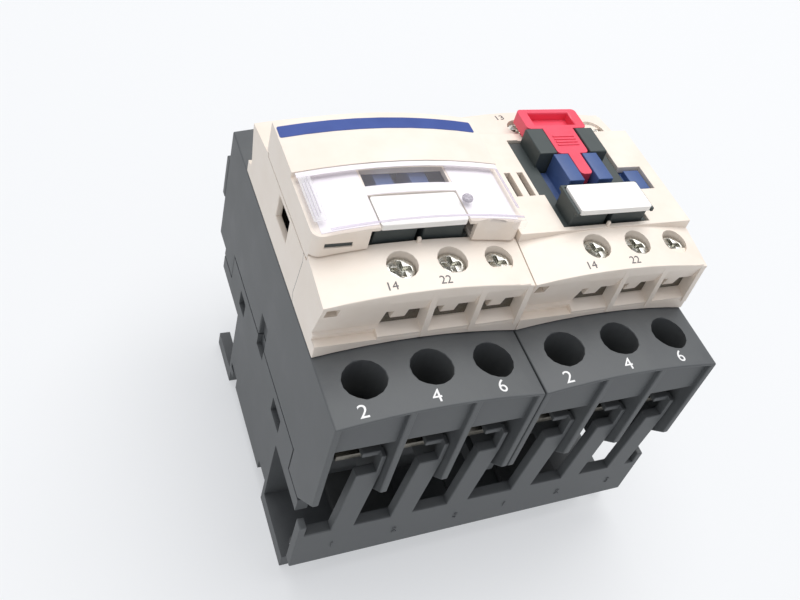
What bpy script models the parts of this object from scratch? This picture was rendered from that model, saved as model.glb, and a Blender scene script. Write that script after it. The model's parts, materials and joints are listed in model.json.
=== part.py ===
"""A reversing magnetic motor starter: two three-pole contactors side by side, linked and interlocked.

Each contactor is a stack. The base holds the magnet and clips on a 35 mm rail, the contact housing
holds the power terminals, and the pale terminal front holds the control terminals. X runs across the
pair, +Y is the line side, -Y the load side, and +Z points out of the panel that Z = 0 lies on.
"""

import math

import bmesh
import bpy
from mathutils import Matrix, Vector

# All sizes are in millimetres, and MM turns them into metres.
MM = 0.001

# Clearances
GAP = 0.3
RUNNING_GAP = 0.6
LAP = 1.0

# One contactor
UNIT_WIDTH = 44.7
BOW = 2.05
BOW_STEPS = 8
ROUND_SIDES = 16

# The 35 mm rail that the base clips on
RAIL_WIDTH = 35.0
RAIL_DEPTH = 7.5
RAIL_MOUTH = 25.0
RAIL_SHEET = 1.0
RAIL_BITE = 1.9

# Base
BASE_WALL = 2.7
BASE_FLOOR = 1.7
BASE_TOP = 36.5
LAND_BOTTOM = 4.5
EAR_THICKNESS = 4.0
EAR_WEB = 1.5
LINE_EAR_END = 31.0
LOAD_EAR_END = 36.0
SLAB_BOTTOM = 25.0
SLAB_HALF = 28.0
SHELF_REACH = 8.0
SHELF_THICKNESS = 4.0
HOOK_THICKNESS = 2.0
FIX_PITCH_X = 35.0
FIX_PITCH_Y = 60.0
FIX_LINE_Y = 27.0
FIX_SLOT = 4.4
SNAP_DEPTH = 1.2
SNAP_HEIGHT = 4.6
SNAP_DROP = 2.8
SNAP_SPANS = ((14.9, 19.6), (-18.9, -12.4))
SEAM_SNAP_SPAN = (-1.8, 3.4)
SEAM_SNAP_BELOW = 3.0
SEAM_SNAP_ABOVE = 7.4

# Rail clip
CLIP_WIDTH = 16.0
CLIP_TAIL = 1.5
CLIP_SLOT_WIDTH = 5.0
CLIP_SLOT_LENGTH = 1.4
CLIP_SLOT_EDGE = 0.7

# Magnet
CORE_DEPTH = 15.0
CORE_HEIGHT = 19.5
CORE_YOKE = 6.5
CENTRE_LEG = 11.0
OUTER_LEG = 6.0
COIL_HEIGHT = 18.0
STROKE = 4.5
MOVING_LEG = 9.2
MOVING_YOKE = 6.0
SPRING_WIRE = 0.8
SPRING_TURNS = 3
SPRING_POINTS = 12

# Contact carrier and bridges
CARRIER_HEIGHT = 10.5
CARRIER_SILL = 2.8
CARRIER_WINDOW = 5.0
BRIDGE_WIDTH = 6.0
BRIDGE_THICKNESS = 1.5
BRIDGE_LENGTH = 26.0
TIP_LENGTH = 3.0
TIP_THICKNESS = 0.8
STEM_WIDTH = 16.0
STEM_DEPTH = 9.0
HEAD_THICKNESS = 1.4
HEAD_WIDTH = 35.0

# Contact housing
HOUSING_HALF = 42.5
HOUSING_WALL = 1.4
HOUSING_ROOF = 3.5
LINE_SKIRT_LIFT = 2.0
LOAD_CHAMFER_Y = 7.0
LOAD_CHAMFER_Z = 8.0
POCKET_HEADROOM = 9.7
POCKET_LIP = 2.5
POCKET_WALL = 1.1
BAND_RECESS = 1.2
BAND_LIP = 0.8
BAND_STEPS = 4
RIB_THICKNESS = 1.5

# Power terminals
BAR_WIDTH = 7.0
BAR_THICKNESS = 1.5
BAR_END_INSET = 5.0
BAR_INNER_GAP = 2.1
TERMINAL_INSET = 9.5
TERMINAL_HOLE = 9.0
TERMINAL_HEAD = 7.5
TERMINAL_HEAD_HEIGHT = 3.5
TERMINAL_SHANK = 4.0
TERMINAL_SHANK_BELOW = 4.0
CLAMP_OPEN = 3.7
CLAMP_THICKNESS = 1.5
CLAMP_CLEARANCE = 0.8
RECESS_WIDTH = 1.0
RECESS_DEPTH = 1.3
RECESS_SHARE = 0.36

# Links between the two contactors
LINK_STRIP_BOTTOM = 8.0
LINK_STRIP_HEIGHT = 13.0
LINK_STRIP_THICKNESS = 2.7
LINK_INSET = 2.1
LINK_CAP_THICKNESS = 1.6
LINK_CAP_RISE = 3.6
FINGER_WIDTH = 5.2
FINGER_DEPTH = 2.4
FINGER_DROP = 4.3
FINGER_LEAN = 1.8
BLADE_WIDTH = 0.9
LINK_TIP_WIDTH = 4.0
LINK_TIP_THICKNESS = 1.5
LINE_STRIP_THICKNESS = 2.0
LINE_STRIP_HEIGHT = 12.0
LINE_STRIP_DROP = 3.6

# Terminal front
LEDGE_LOAD = 25.8
LEDGE_LINE = 28.3
LEDGE_FALL = 1.5
CENTRE_LOAD = 15.0
CENTRE_LINE = 17.2
CENTRE_RISE = 3.9
LOAD_STEP = 2.35
LINE_STEP = 3.1
FRONT_WALL = 1.4
DECK = 2.0
SHOULDER_DROP = 3.6
LIP_HEIGHT = 3.2
FACE_FALL = 2.0
FACE_HEIGHT = 10.0
VENT_WIDTH = 1.5
VENT_PITCH = 3.2
VENT_EDGE = 4.15
VENT_LINE = 3.9
SIDE_HOLE_SIZE = 2.5
SIDE_HOLE_EDGE = 0.9
SIDE_HOLE_DROP = 0.9

# Control terminals
CONTROL_PITCH = 10.7
CONTROL_EDGE = 6.15
CONTROL_INSET = 6.6
CONTROL_HOLE = 6.4
CONTROL_HEAD = 5.7
CONTROL_HEAD_HEIGHT = 2.0
CONTROL_SHANK = 3.5
CONTROL_SHANK_LENGTH = 7.5
CONTROL_SINK = 1.3
WIRE_SLOT_SPAN = (-4.2, 3.0)
WIRE_SLOT_HEIGHT = 3.6
WIRE_SLOT_ROOF = 5.1
WIRE_SLOT_DEPTH = 9.0
WIRE_TAB_DROP = 1.9
WIRE_TAB_DEPTH = 5.0
WIRE_TAB_SPAN = (-2.7, 0.5)
CHANNEL_DROP = 1.2
CHANNEL_DEPTH = 4.8
FIN_THICKNESS = 1.3

# Interlock rocker in the side windows
WINDOW_LIFT = 7.5
WINDOW_HEIGHT = 6.0
WINDOW_LOAD = -2.0
WINDOW_LINE = 6.0
HUB_RADIUS = 1.3
ROCKER_THICKNESS = 1.6
ROCKER_EDGE = 0.7
ROCKER_LEFT_ARM = 7.0
ROCKER_RIGHT_ARM = 4.2
INTERLOCK_LASH = 2.9

# Indicator, which rides on the carrier and shows in the window
INDICATOR_PLATE = 1.8
INDICATOR_LEFT = -10.6
INDICATOR_LOAD = -3.4
JAW_INNER = 1.9
JAW_OUTER = 5.8
JAW_HEIGHT = 5.6
FLAG_INNER = 14.0
FLAG_EDGE = 3.45
FLAG_LINE = 3.6
FLAG_HEIGHT = 1.5

# Guide block, lock slide and legend plate
APERTURE_HALF = 12.6
APERTURE_NARROW = 11.3
APERTURE_STEP = -3.7
GUIDE_HALF = 9.1
GUIDE_LINE = 14.5
GUIDE_LOAD = 5.9
GUIDE_FLOOR = 3.4
GUIDE_LIP = 0.3
FRAME_INNER = 8.6
FRAME_DROP = 0.6
HOLDER_HALF = 9.7
HOLDER_HEIGHT = 7.1
HOLDER_LINE = -6.3
HOLDER_SPLIT = 1.4
HOLDER_SPLIT_DEPTH = 2.5
LEGEND_HALF = 9.2
LEGEND_LINE = -6.5
LEGEND_LOAD = -14.6
LEGEND_THICKNESS = 1.3
SLIDE_THICKNESS = 3.2
STEM_SLOT_HALF = 4.45
HANDLE_HALF = 8.1
HANDLE_LENGTH = 7.1
TONGUE_TIP = -1.2
POCKET_RIM = 2.6
POCKET_END_RIM = 1.4
POCKET_DEPTH = 2.2

# Front cover and clear flap of the left contactor
COVER_WALL = 1.1
COVER_ROOF = 1.5
COVER_CORNER = 2.2
CORNER_STEPS = 4
FLAP_EDGE = 0.3
FLAP_LINE = 1.5
FLAP_THICKNESS = 1.0
FLAP_TAB_WIDTH = 2.8
FLAP_TAB_REACH = 0.9
FLAP_TAB_DROP = 2.0
SIGHT_HALF = 9.1
SIGHT_LOAD = -3.6
SIGHT_EDGE = 0.4
FINGER_SLOT = (-11.2, 11.1)
FINGER_SLOT_HEIGHT = 4.0
TAG_SLOT = (-20.0, -14.4)
TAG_SLOT_HEIGHT = 1.2
TAG_SLOT_DEPTH = 0.6
TAG_SLOT_LIFT = 1.4
DIMPLE_X = 15.0
DIMPLE_RADIUS = 9.0
DIMPLE_DEPTH = 0.7

# Finishes: colour, roughness and metallic value
FINISHES = {
    "dark_housing": ("55585a", 0.6, 0.0),
    "cream_housing": ("e9dfd0", 0.45, 0.0),
    "clear_plastic": ("f2f2f0", 0.12, 0.0),
    "white_plate": ("f6f3ec", 0.4, 0.0),
    "red_slide": ("d8304a", 0.4, 0.0),
    "blue_indicator": ("46609f", 0.5, 0.0),
    "dark_guide": ("3c4444", 0.55, 0.0),
    "bright_steel": ("c9c9c4", 0.3, 1.0),
    "silver_copper": ("b98a62", 0.35, 1.0),
    "laminated_steel": ("8a8c8e", 0.45, 1.0),
    "coil_tape": ("6a4a32", 0.6, 0.0),
    "spring_steel": ("a9abad", 0.3, 1.0),
}
SHARP_ANGLE = math.radians(35)

# Widths that follow from the driving sizes
UNIT_HALF = UNIT_WIDTH / 2
UNIT_PITCH = UNIT_WIDTH + GAP
PAIR_HALF = UNIT_PITCH / 2 + UNIT_HALF
POLE_PITCH = (UNIT_WIDTH - 2 * HOUSING_WALL) / 3
POLES = (-POLE_PITCH, 0.0, POLE_PITCH)
CAVITY_HALF = UNIT_HALF - BASE_WALL
CORE_HALF = CAVITY_HALF - GAP
CORE_WINDOW = CORE_HALF - OUTER_LEG - CENTRE_LEG / 2
COIL_WALL = CORE_WINDOW - 2 * GAP
COIL_HALF_X = CENTRE_LEG / 2 + GAP + COIL_WALL
COIL_HALF_Y = CORE_DEPTH / 2 + GAP + COIL_WALL
CHAMBER_HALF = max(COIL_HALF_Y, BRIDGE_LENGTH / 2) + GAP
CARRIER_HALF = CORE_DEPTH / 2
RIB_LEFT = POLE_PITCH / 2 - RIB_THICKNESS / 2
RIB_RIGHT = POLE_PITCH / 2 + RIB_THICKNESS / 2
CLAMP_HALF = RIB_LEFT - 2 * GAP
FINGER_RIGHT = RIB_LEFT - GAP
FINGER_LEFT = FINGER_RIGHT - FINGER_WIDTH
FINGER_MIDDLE = (FINGER_LEFT + FINGER_RIGHT) / 2
CONTROL_XS = [UNIT_HALF - CONTROL_EDGE - i * CONTROL_PITCH for i in (2, 1, 0)]
COVERED_HALF = UNIT_HALF - COVER_WALL - GAP
FLAG_OUTER = UNIT_HALF - FLAG_EDGE
FLAP_HALF = UNIT_HALF - FLAP_EDGE

# Places along Y. Where a place has two values, 1 stands for the line side and -1 for the load side.
RAIL_HALF = RAIL_WIDTH / 2 + GAP
LAND_HALF = RAIL_MOUTH / 2 - GAP
BLOCK_HALF = RAIL_HALF + EAR_WEB
SHELF_HALF = SLAB_HALF + SHELF_REACH
TERMINAL_Y = HOUSING_HALF - TERMINAL_INSET
LEDGE_END = {1: LEDGE_LINE, -1: LEDGE_LOAD}
CENTRE_END = {1: CENTRE_LINE, -1: CENTRE_LOAD}
COVERED_END = {side: end - COVER_WALL - GAP for side, end in CENTRE_END.items()}
CONTROL_Y = {side: end - CONTROL_INSET for side, end in LEDGE_END.items()}
POCKET_Y = TERMINAL_Y - CLAMP_HALF - CLAMP_CLEARANCE
BAR_END = HOUSING_HALF - BAR_END_INSET
BAR_START = CARRIER_HALF + BAR_INNER_GAP
LINK_OUTER = HOUSING_HALF - LINK_INSET
LINK_TIP_END = TERMINAL_Y + TERMINAL_SHANK / 2 + GAP
INDICATOR_LINE = GUIDE_LOAD - GAP
SHAFT_LINE = INDICATOR_LINE + RUNNING_GAP
SHAFT_LOAD = min(INDICATOR_LOAD, -STEM_DEPTH / 2) - RUNNING_GAP
HOLDER_LOAD = GAP - COVERED_END[-1]
LINE_REACH = HOUSING_HALF + GAP + LINE_STRIP_THICKNESS
SHIFT_Y = (HOUSING_HALF - LINE_REACH) / 2

# Levels from the rail upwards
RAIL_SEAT = RAIL_DEPTH + GAP
HOOK_TOP = RAIL_DEPTH - RAIL_SHEET - GAP
CLIP_BOTTOM = EAR_THICKNESS + GAP
SHELF_TOP = SLAB_BOTTOM + SHELF_THICKNESS
CORE_FLOOR = RAIL_SEAT + BASE_FLOOR
CORE_BOTTOM = CORE_FLOOR + GAP
CORE_TOP = CORE_BOTTOM + CORE_HEIGHT
COIL_BOTTOM = CORE_BOTTOM + CORE_YOKE + GAP
COIL_TOP = COIL_BOTTOM + COIL_HEIGHT
MOVING_BOTTOM = CORE_TOP + STROKE + GAP
YOKE_BOTTOM = MOVING_BOTTOM + MOVING_LEG
MOVING_TOP = YOKE_BOTTOM + MOVING_YOKE
CARRIER_BOTTOM = MOVING_TOP + GAP
CARRIER_TOP = CARRIER_BOTTOM + CARRIER_HEIGHT
SILL_TOP = CARRIER_BOTTOM + CARRIER_SILL
BRIDGE_BOTTOM = SILL_TOP + GAP
BAR_TIP_TOP = BRIDGE_BOTTOM - TIP_THICKNESS - STROKE - GAP
BAR_TOP = BAR_TIP_TOP - TIP_THICKNESS
BAR_BOTTOM = BAR_TOP - BAR_THICKNESS
CLAMP_BOTTOM = BAR_TOP + CLAMP_OPEN
CLAMP_TOP = CLAMP_BOTTOM + CLAMP_THICKNESS
LINK_TIP_BOTTOM = BAR_TOP + GAP
LINK_TIP_TOP = LINK_TIP_BOTTOM + LINK_TIP_THICKNESS
HOUSING_BOTTOM = BASE_TOP + GAP
CEILING = CARRIER_TOP + RUNNING_GAP
HOUSING_TOP = CEILING + HOUSING_ROOF
POCKET_TOP = HOUSING_TOP - POCKET_HEADROOM
POCKET_ENTRY = POCKET_TOP - POCKET_WALL
FRONT_BOTTOM = HOUSING_TOP + GAP
WINDOW_BOTTOM = HOUSING_TOP + WINDOW_LIFT
WINDOW_TOP = WINDOW_BOTTOM + WINDOW_HEIGHT
PIVOT_Z = WINDOW_BOTTOM + GAP + HUB_RADIUS
HEAD_BOTTOM = PIVOT_Z + ROCKER_THICKNESS / 2 + INTERLOCK_LASH
HEAD_TOP = HEAD_BOTTOM + HEAD_THICKNESS
DECK_TOP = HEAD_TOP + GAP
PLATE_TOP = DECK_TOP + INDICATOR_PLATE
GUIDE_BOTTOM = DECK_TOP + GAP
FLOOR_TOP = GUIDE_BOTTOM + GUIDE_FLOOR
SLIDE_BOTTOM = FLOOR_TOP + GAP
SLIDE_TOP = SLIDE_BOTTOM + SLIDE_THICKNESS
GUIDE_TOP = SLIDE_TOP + GUIDE_LIP
BEAM_BOTTOM = PLATE_TOP + GAP
JAW_TOP = PLATE_TOP + JAW_HEIGHT
HOLDER_TOP = GUIDE_BOTTOM + HOLDER_HEIGHT
LEGEND_BOTTOM = HOLDER_TOP + GAP
LEGEND_TOP = LEGEND_BOTTOM + LEGEND_THICKNESS
COVER_CEILING = max(GUIDE_TOP, JAW_TOP, HOLDER_TOP) + GAP
FRONT_TOP = DECK_TOP + CENTRE_RISE
FRAME_TOP = FRONT_TOP - FRAME_DROP
LEDGE_LEVEL = {1: FRONT_TOP - LINE_STEP, -1: FRONT_TOP - LOAD_STEP}
SHOULDER = FRONT_TOP - SHOULDER_DROP


def bow(x):
    """How far the bowed front stands above its own side edges, at x from a contactor's middle."""
    return BOW * (1 - (x / UNIT_HALF) ** 2)


COVER_EDGE = LEGEND_TOP + GAP + FLAP_THICKNESS - bow(LEGEND_HALF)
RECESS_EDGE = COVER_EDGE - FLAP_THICKNESS - GAP
COVER_UNDER = RECESS_EDGE - COVER_ROOF
SKY = COVER_EDGE + BOW + 10 * LAP


def helper(bm):
    """An object in the scene that holds the faces of bm, facing out."""
    bmesh.ops.recalc_face_normals(bm, faces=bm.faces)
    mesh = bpy.data.meshes.new("helper")
    bm.to_mesh(mesh)
    bm.free()
    obj = bpy.data.objects.new("helper", mesh)
    bpy.context.collection.objects.link(obj)
    return obj


def prism(outline, axis, low, high, far_outline=None):
    """A closed outline pushed along an axis, to another outline if one is given for its far end.

    An outline is drawn as (y, z), (x, z) or (x, y) pairs.
    """
    order = {"X": (2, 0, 1), "Y": (0, 2, 1), "Z": (0, 1, 2)}[axis]
    bm = bmesh.new()
    rings = []
    for level, drawn in ((low, outline), (high, far_outline or outline)):
        corners = [(a, b, level) for a, b in drawn]
        rings.append([bm.verts.new([corner[k] * MM for k in order]) for corner in corners])
        bm.faces.new(rings[-1])
    for i in range(len(outline)):
        bm.faces.new((rings[0][i - 1], rings[0][i], rings[1][i], rings[1][i - 1]))
    return helper(bm)


def block(x, y, z):
    """A box between three (low, high) pairs."""
    outline = [(x[0], y[0]), (x[1], y[0]), (x[1], y[1]), (x[0], y[1])]
    return prism(outline, "Z", z[0], z[1])


def rod(middle, diameter, low, high, axis="Z"):
    """A round bar. Its middle is a pair in the plane across the axis."""
    turns = [2 * math.pi * (i + 0.5) / ROUND_SIDES for i in range(ROUND_SIDES)]
    radius = diameter / 2
    outline = [(middle[0] + radius * math.cos(t), middle[1] + radius * math.sin(t)) for t in turns]
    return prism(outline, axis, low, high)


def ball(centre, radius):
    """A round ball, used to press a dimple."""
    bm = bmesh.new()
    place_at = Matrix.Translation(Vector(centre) * MM)
    bmesh.ops.create_icosphere(bm, subdivisions=4, radius=radius * MM, matrix=place_at)
    return helper(bm)


def bow_line(edge, half):
    """Points along the bow from -half to half, over side edges at this level."""
    xs = [half * (2 * i / BOW_STEPS - 1) for i in range(BOW_STEPS + 1)]
    return [(x, edge + bow(x)) for x in xs]


def bowed_slab(half, y, bottom_edge, top_edge):
    """A slab whose underside and top both follow the bow."""
    outline = bow_line(bottom_edge, half) + bow_line(top_edge, half)[::-1]
    return prism(outline, "Y", y[0], y[1])


def above_bow(edge, half, y):
    """All that lies over the bow, up to the sky."""
    return prism(bow_line(edge, half) + [(half, SKY), (-half, SKY)], "Y", y[0], y[1])


def ledge_edge(side, reach):
    """The level of a ledge's side edges, at this distance from the contactor's middle."""
    start = CENTRE_END[side]
    return LEDGE_LEVEL[side] - LEDGE_FALL * (reach - start) / (LEDGE_END[side] - start)


def above_ledge(side, start):
    """All that lies over a falling ledge, from a start along Y out past its end."""
    half = UNIT_HALF + LAP
    reach = LEDGE_END[side] + LAP
    sky = [(half, SKY), (-half, SKY)]
    near = bow_line(ledge_edge(side, start), half) + sky
    far = bow_line(ledge_edge(side, reach), half) + sky
    return prism(near, "Y", side * start, side * reach, far)


def below_bow(edge, half, y, floor):
    """All that lies under the bow, down to a flat floor."""
    return prism(bow_line(edge, half) + [(half, floor), (-half, floor)], "Y", y[0], y[1])


def pair(low, high):
    """The two mirror-image (low, high) pairs either side of zero."""
    return (low, high), (-high, -low)


def corner_cutter(x, y, radius):
    """What rounds off an upright corner at x, y, whose solid lies nearer to zero both ways."""
    inward_x = -math.copysign(radius, x)
    inward_y = -math.copysign(radius, y)
    outline = [(x, y + inward_y), (x - inward_x, y - inward_y), (x + inward_x, y)]
    for i in range(1, CORNER_STEPS):
        turn = math.pi / 2 * i / CORNER_STEPS
        outline.append((x + inward_x * (1 - math.sin(turn)), y + inward_y * (1 - math.cos(turn))))
    return prism(outline, "Z", 0, SKY)


def side_span(side, near, far):
    """A (low, high) pair along Y on the line side (1) or the load side (-1)."""
    return (near, far) if side > 0 else (-far, -near)


def shape(name, body, add=(), cut=()):
    """The mesh of a body after the other pieces were joined to it and cut from it."""
    for operation, pieces in (("UNION", add), ("DIFFERENCE", cut)):
        for piece in pieces:
            modifier = body.modifiers.new(operation, "BOOLEAN")
            modifier.operation = operation
            modifier.object = piece
    graph = bpy.context.evaluated_depsgraph_get()
    mesh = bpy.data.meshes.new_from_object(body.evaluated_get(graph))
    mesh.name = name
    for used in (body, *add, *cut):
        bpy.data.objects.remove(used)
    mesh.shade_smooth()
    mesh.set_sharp_from_angle(angle=SHARP_ANGLE)
    return mesh


def linear(channel):
    """One sRGB channel, 0 to 1, as linear light."""
    return channel / 12.92 if channel <= 0.04045 else ((channel + 0.055) / 1.055) ** 2.4


def finish(name):
    """The material of this name, made at its first use."""
    if name in bpy.data.materials:
        return bpy.data.materials[name]
    colour, roughness, metallic = FINISHES[name]
    material = bpy.data.materials.new(name)
    material.use_nodes = True
    shader = material.node_tree.nodes["Principled BSDF"]
    channels = [linear(int(colour[i:i + 2], 16) / 255) for i in (0, 2, 4)]
    shader.inputs["Base Color"].default_value = (*channels, 1.0)
    shader.inputs["Roughness"].default_value = roughness
    shader.inputs["Metallic"].default_value = metallic
    return material


def place(name, data, finish_name, parent, at=(0.0, 0.0, 0.0)):
    """A named piece with this mesh or curve, at a place in millimetres under its parent."""
    if not data.materials:
        data.materials.append(finish(finish_name))
    obj = bpy.data.objects.new(name, data)
    bpy.context.collection.objects.link(obj)
    obj.parent = parent
    obj.location = Vector(at) * MM
    return obj


def empty(name, parent, at):
    obj = bpy.data.objects.new(name, None)
    bpy.context.collection.objects.link(obj)
    obj.parent = parent
    obj.location = Vector(at) * MM
    return obj


def about(mesh, point):
    """The mesh moved so that this point is its own origin."""
    mesh.transform(Matrix.Translation(-Vector(point) * MM))
    return mesh


def base():
    """The foot: rail groove with a fixed hook, screw ears, magnet well and the slab on top."""
    outline = [
        (RAIL_HALF, 0), (LINE_EAR_END, 0), (LINE_EAR_END, EAR_THICKNESS),
        (BLOCK_HALF, EAR_THICKNESS), (BLOCK_HALF, SLAB_BOTTOM),
        (SHELF_HALF, SLAB_BOTTOM), (SHELF_HALF, SHELF_TOP), (SLAB_HALF, SHELF_TOP),
        (SLAB_HALF, BASE_TOP), (-SLAB_HALF, BASE_TOP), (-SLAB_HALF, SHELF_TOP),
        (-SHELF_HALF, SHELF_TOP), (-SHELF_HALF, SLAB_BOTTOM),
        (-BLOCK_HALF, SLAB_BOTTOM), (-BLOCK_HALF, EAR_THICKNESS),
        (-LOAD_EAR_END, EAR_THICKNESS), (-LOAD_EAR_END, 0), (-RAIL_HALF, 0),
        (-RAIL_HALF, RAIL_SEAT), (-LAND_HALF, RAIL_SEAT), (-LAND_HALF, LAND_BOTTOM),
        (LAND_HALF, LAND_BOTTOM), (LAND_HALF, RAIL_SEAT), (RAIL_HALF, RAIL_SEAT),
        (RAIL_HALF, HOOK_TOP), (RAIL_HALF - RAIL_BITE, HOOK_TOP),
        (RAIL_HALF - RAIL_BITE, HOOK_TOP - HOOK_THICKNESS), (RAIL_HALF, HOOK_TOP - HOOK_THICKNESS),
    ]
    body = prism(outline, "X", -UNIT_HALF, UNIT_HALF)
    well_x = (-CAVITY_HALF, CAVITY_HALF)
    clip_x = CLIP_WIDTH / 2 + GAP
    cut = [
        block(well_x, (-CHAMBER_HALF, CHAMBER_HALF), (CORE_FLOOR, BASE_TOP + LAP)),
        block((-clip_x, clip_x), (-BLOCK_HALF - LAP, -RAIL_HALF + LAP), (EAR_THICKNESS, RAIL_SEAT - GAP)),
    ]
    for side in (1, -1):
        notch_y = side_span(side, SLAB_HALF, SHELF_HALF + LAP)
        cut.append(block(well_x, notch_y, (SLAB_BOTTOM - LAP, SHELF_TOP + LAP)))
    slot_z = (-LAP, EAR_THICKNESS + LAP)
    for x in (-FIX_PITCH_X / 2, FIX_PITCH_X / 2):
        slot_x = (x - FIX_SLOT / 2, x + FIX_SLOT / 2)
        load_y = FIX_LINE_Y - FIX_PITCH_Y
        cut += [
            rod((x, FIX_LINE_Y), FIX_SLOT, *slot_z),
            block(slot_x, (FIX_LINE_Y, LINE_EAR_END + LAP), slot_z),
            rod((x, load_y), FIX_SLOT, *slot_z),
            block(slot_x, (-LOAD_EAR_END - LAP, load_y), slot_z),
        ]
    snap_z = (BASE_TOP - SNAP_DROP - SNAP_HEIGHT, BASE_TOP - SNAP_DROP)
    for x in pair(UNIT_HALF - SNAP_DEPTH, UNIT_HALF + LAP):
        cut += [block(x, y, snap_z) for y in SNAP_SPANS]
        cut.append(block(x, SEAM_SNAP_SPAN, (BASE_TOP - SEAM_SNAP_BELOW, BASE_TOP + LAP)))
    return shape("base", body, cut=cut)


def rail_clip():
    """The sliding latch under the load side that grips the rail's other edge."""
    tail = -LOAD_EAR_END - CLIP_TAIL
    half = CLIP_WIDTH / 2
    body = block((-half, half), (tail, -RAIL_HALF + RAIL_BITE), (CLIP_BOTTOM, HOOK_TOP))
    slot_half = CLIP_SLOT_WIDTH / 2
    slot_y = (tail + CLIP_SLOT_EDGE, tail + CLIP_SLOT_EDGE + CLIP_SLOT_LENGTH)
    pry_slot = block((-slot_half, slot_half), slot_y, (CLIP_BOTTOM - LAP, HOOK_TOP + LAP))
    return shape("rail_clip", body, cut=[pry_slot])


def e_core(name, back, yoke, tips):
    """An E of stacked sheet steel, from the back of its yoke to the tips of its three legs."""
    inside = back + math.copysign(yoke, tips - back)
    leg = CORE_HALF - OUTER_LEG
    middle = CENTRE_LEG / 2
    half = [
        (CORE_HALF, back), (CORE_HALF, tips), (leg, tips),
        (leg, inside), (middle, inside), (middle, tips),
    ]
    outline = half + [(-x, z) for x, z in half[::-1]]
    return shape(name, prism(outline, "Y", -CORE_DEPTH / 2, CORE_DEPTH / 2))


def coil():
    body = block((-COIL_HALF_X, COIL_HALF_X), (-COIL_HALF_Y, COIL_HALF_Y), (COIL_BOTTOM, COIL_TOP))
    bore_x = CENTRE_LEG / 2 + GAP
    bore_y = CORE_DEPTH / 2 + GAP
    bore = block((-bore_x, bore_x), (-bore_y, bore_y), (COIL_BOTTOM - LAP, COIL_TOP + LAP))
    return shape("coil", body, cut=[bore])


def return_spring():
    """The helix round the middle leg that pushes the moving core off the coil."""
    radius = math.hypot(CENTRE_LEG / 2, CORE_DEPTH / 2) + RUNNING_GAP + SPRING_WIRE / 2
    low = COIL_TOP + GAP + SPRING_WIRE / 2
    high = YOKE_BOTTOM - GAP - SPRING_WIRE / 2
    steps = SPRING_TURNS * SPRING_POINTS
    curve = bpy.data.curves.new("return_spring", "CURVE")
    curve.dimensions = "3D"
    curve.bevel_depth = SPRING_WIRE / 2 * MM
    curve.bevel_resolution = 1
    curve.use_fill_caps = True
    spline = curve.splines.new("POLY")
    spline.points.add(steps)
    for i, point in enumerate(spline.points):
        turn = 2 * math.pi * i / SPRING_POINTS
        level = low + (high - low) * i / steps
        point.co = (*(Vector((radius * math.cos(turn), radius * math.sin(turn), level)) * MM), 1.0)
    coils_gap = (high - low) / SPRING_TURNS - SPRING_WIRE
    print(f"return spring: least gap between turns {coils_gap:.2f} mm")
    return curve


def contact_carrier():
    """The moving crossbar with a window for each bridge, its stem and the interlock head on top."""
    half = CORE_HALF - GAP
    body = block((-half, half), (-CARRIER_HALF, CARRIER_HALF), (CARRIER_BOTTOM, CARRIER_TOP))
    stem_x = (-STEM_WIDTH / 2, STEM_WIDTH / 2)
    stem_y = (-STEM_DEPTH / 2, STEM_DEPTH / 2)
    head_y = (WINDOW_LOAD + GAP + ROCKER_EDGE, WINDOW_LINE - GAP - ROCKER_EDGE)
    add = [
        block(stem_x, stem_y, (CARRIER_TOP - LAP, HEAD_TOP)),
        block((-HEAD_WIDTH / 2, HEAD_WIDTH / 2), head_y, (HEAD_BOTTOM, HEAD_TOP)),
    ]
    window_half = BRIDGE_WIDTH / 2 + GAP
    window_y = (-CARRIER_HALF - LAP, CARRIER_HALF + LAP)
    window_z = (SILL_TOP, SILL_TOP + CARRIER_WINDOW)
    cut = [block((x - window_half, x + window_half), window_y, window_z) for x in POLES]
    return shape("contact_carrier", body, add, cut)


def bridge():
    """A moving contact bar with a contact tip under each end."""
    end = BRIDGE_LENGTH / 2
    tip = end - TIP_LENGTH
    top = BRIDGE_BOTTOM + BRIDGE_THICKNESS
    tip_z = BRIDGE_BOTTOM - TIP_THICKNESS
    half = [(tip, BRIDGE_BOTTOM), (tip, tip_z), (end, tip_z), (end, top)]
    outline = half + [(-y, z) for y, z in half[::-1]]
    return shape("bridge", prism(outline, "X", -BRIDGE_WIDTH / 2, BRIDGE_WIDTH / 2))


def cross_recess(middle, diameter, top):
    """The two cutters of a screw head's cross recess."""
    x, y = middle
    reach = diameter * RECESS_SHARE
    narrow = RECESS_WIDTH / 2
    z = (top - RECESS_DEPTH, top + LAP)
    return [
        block((x - reach, x + reach), (y - narrow, y + narrow), z),
        block((x - narrow, x + narrow), (y - reach, y + reach), z),
    ]


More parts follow.
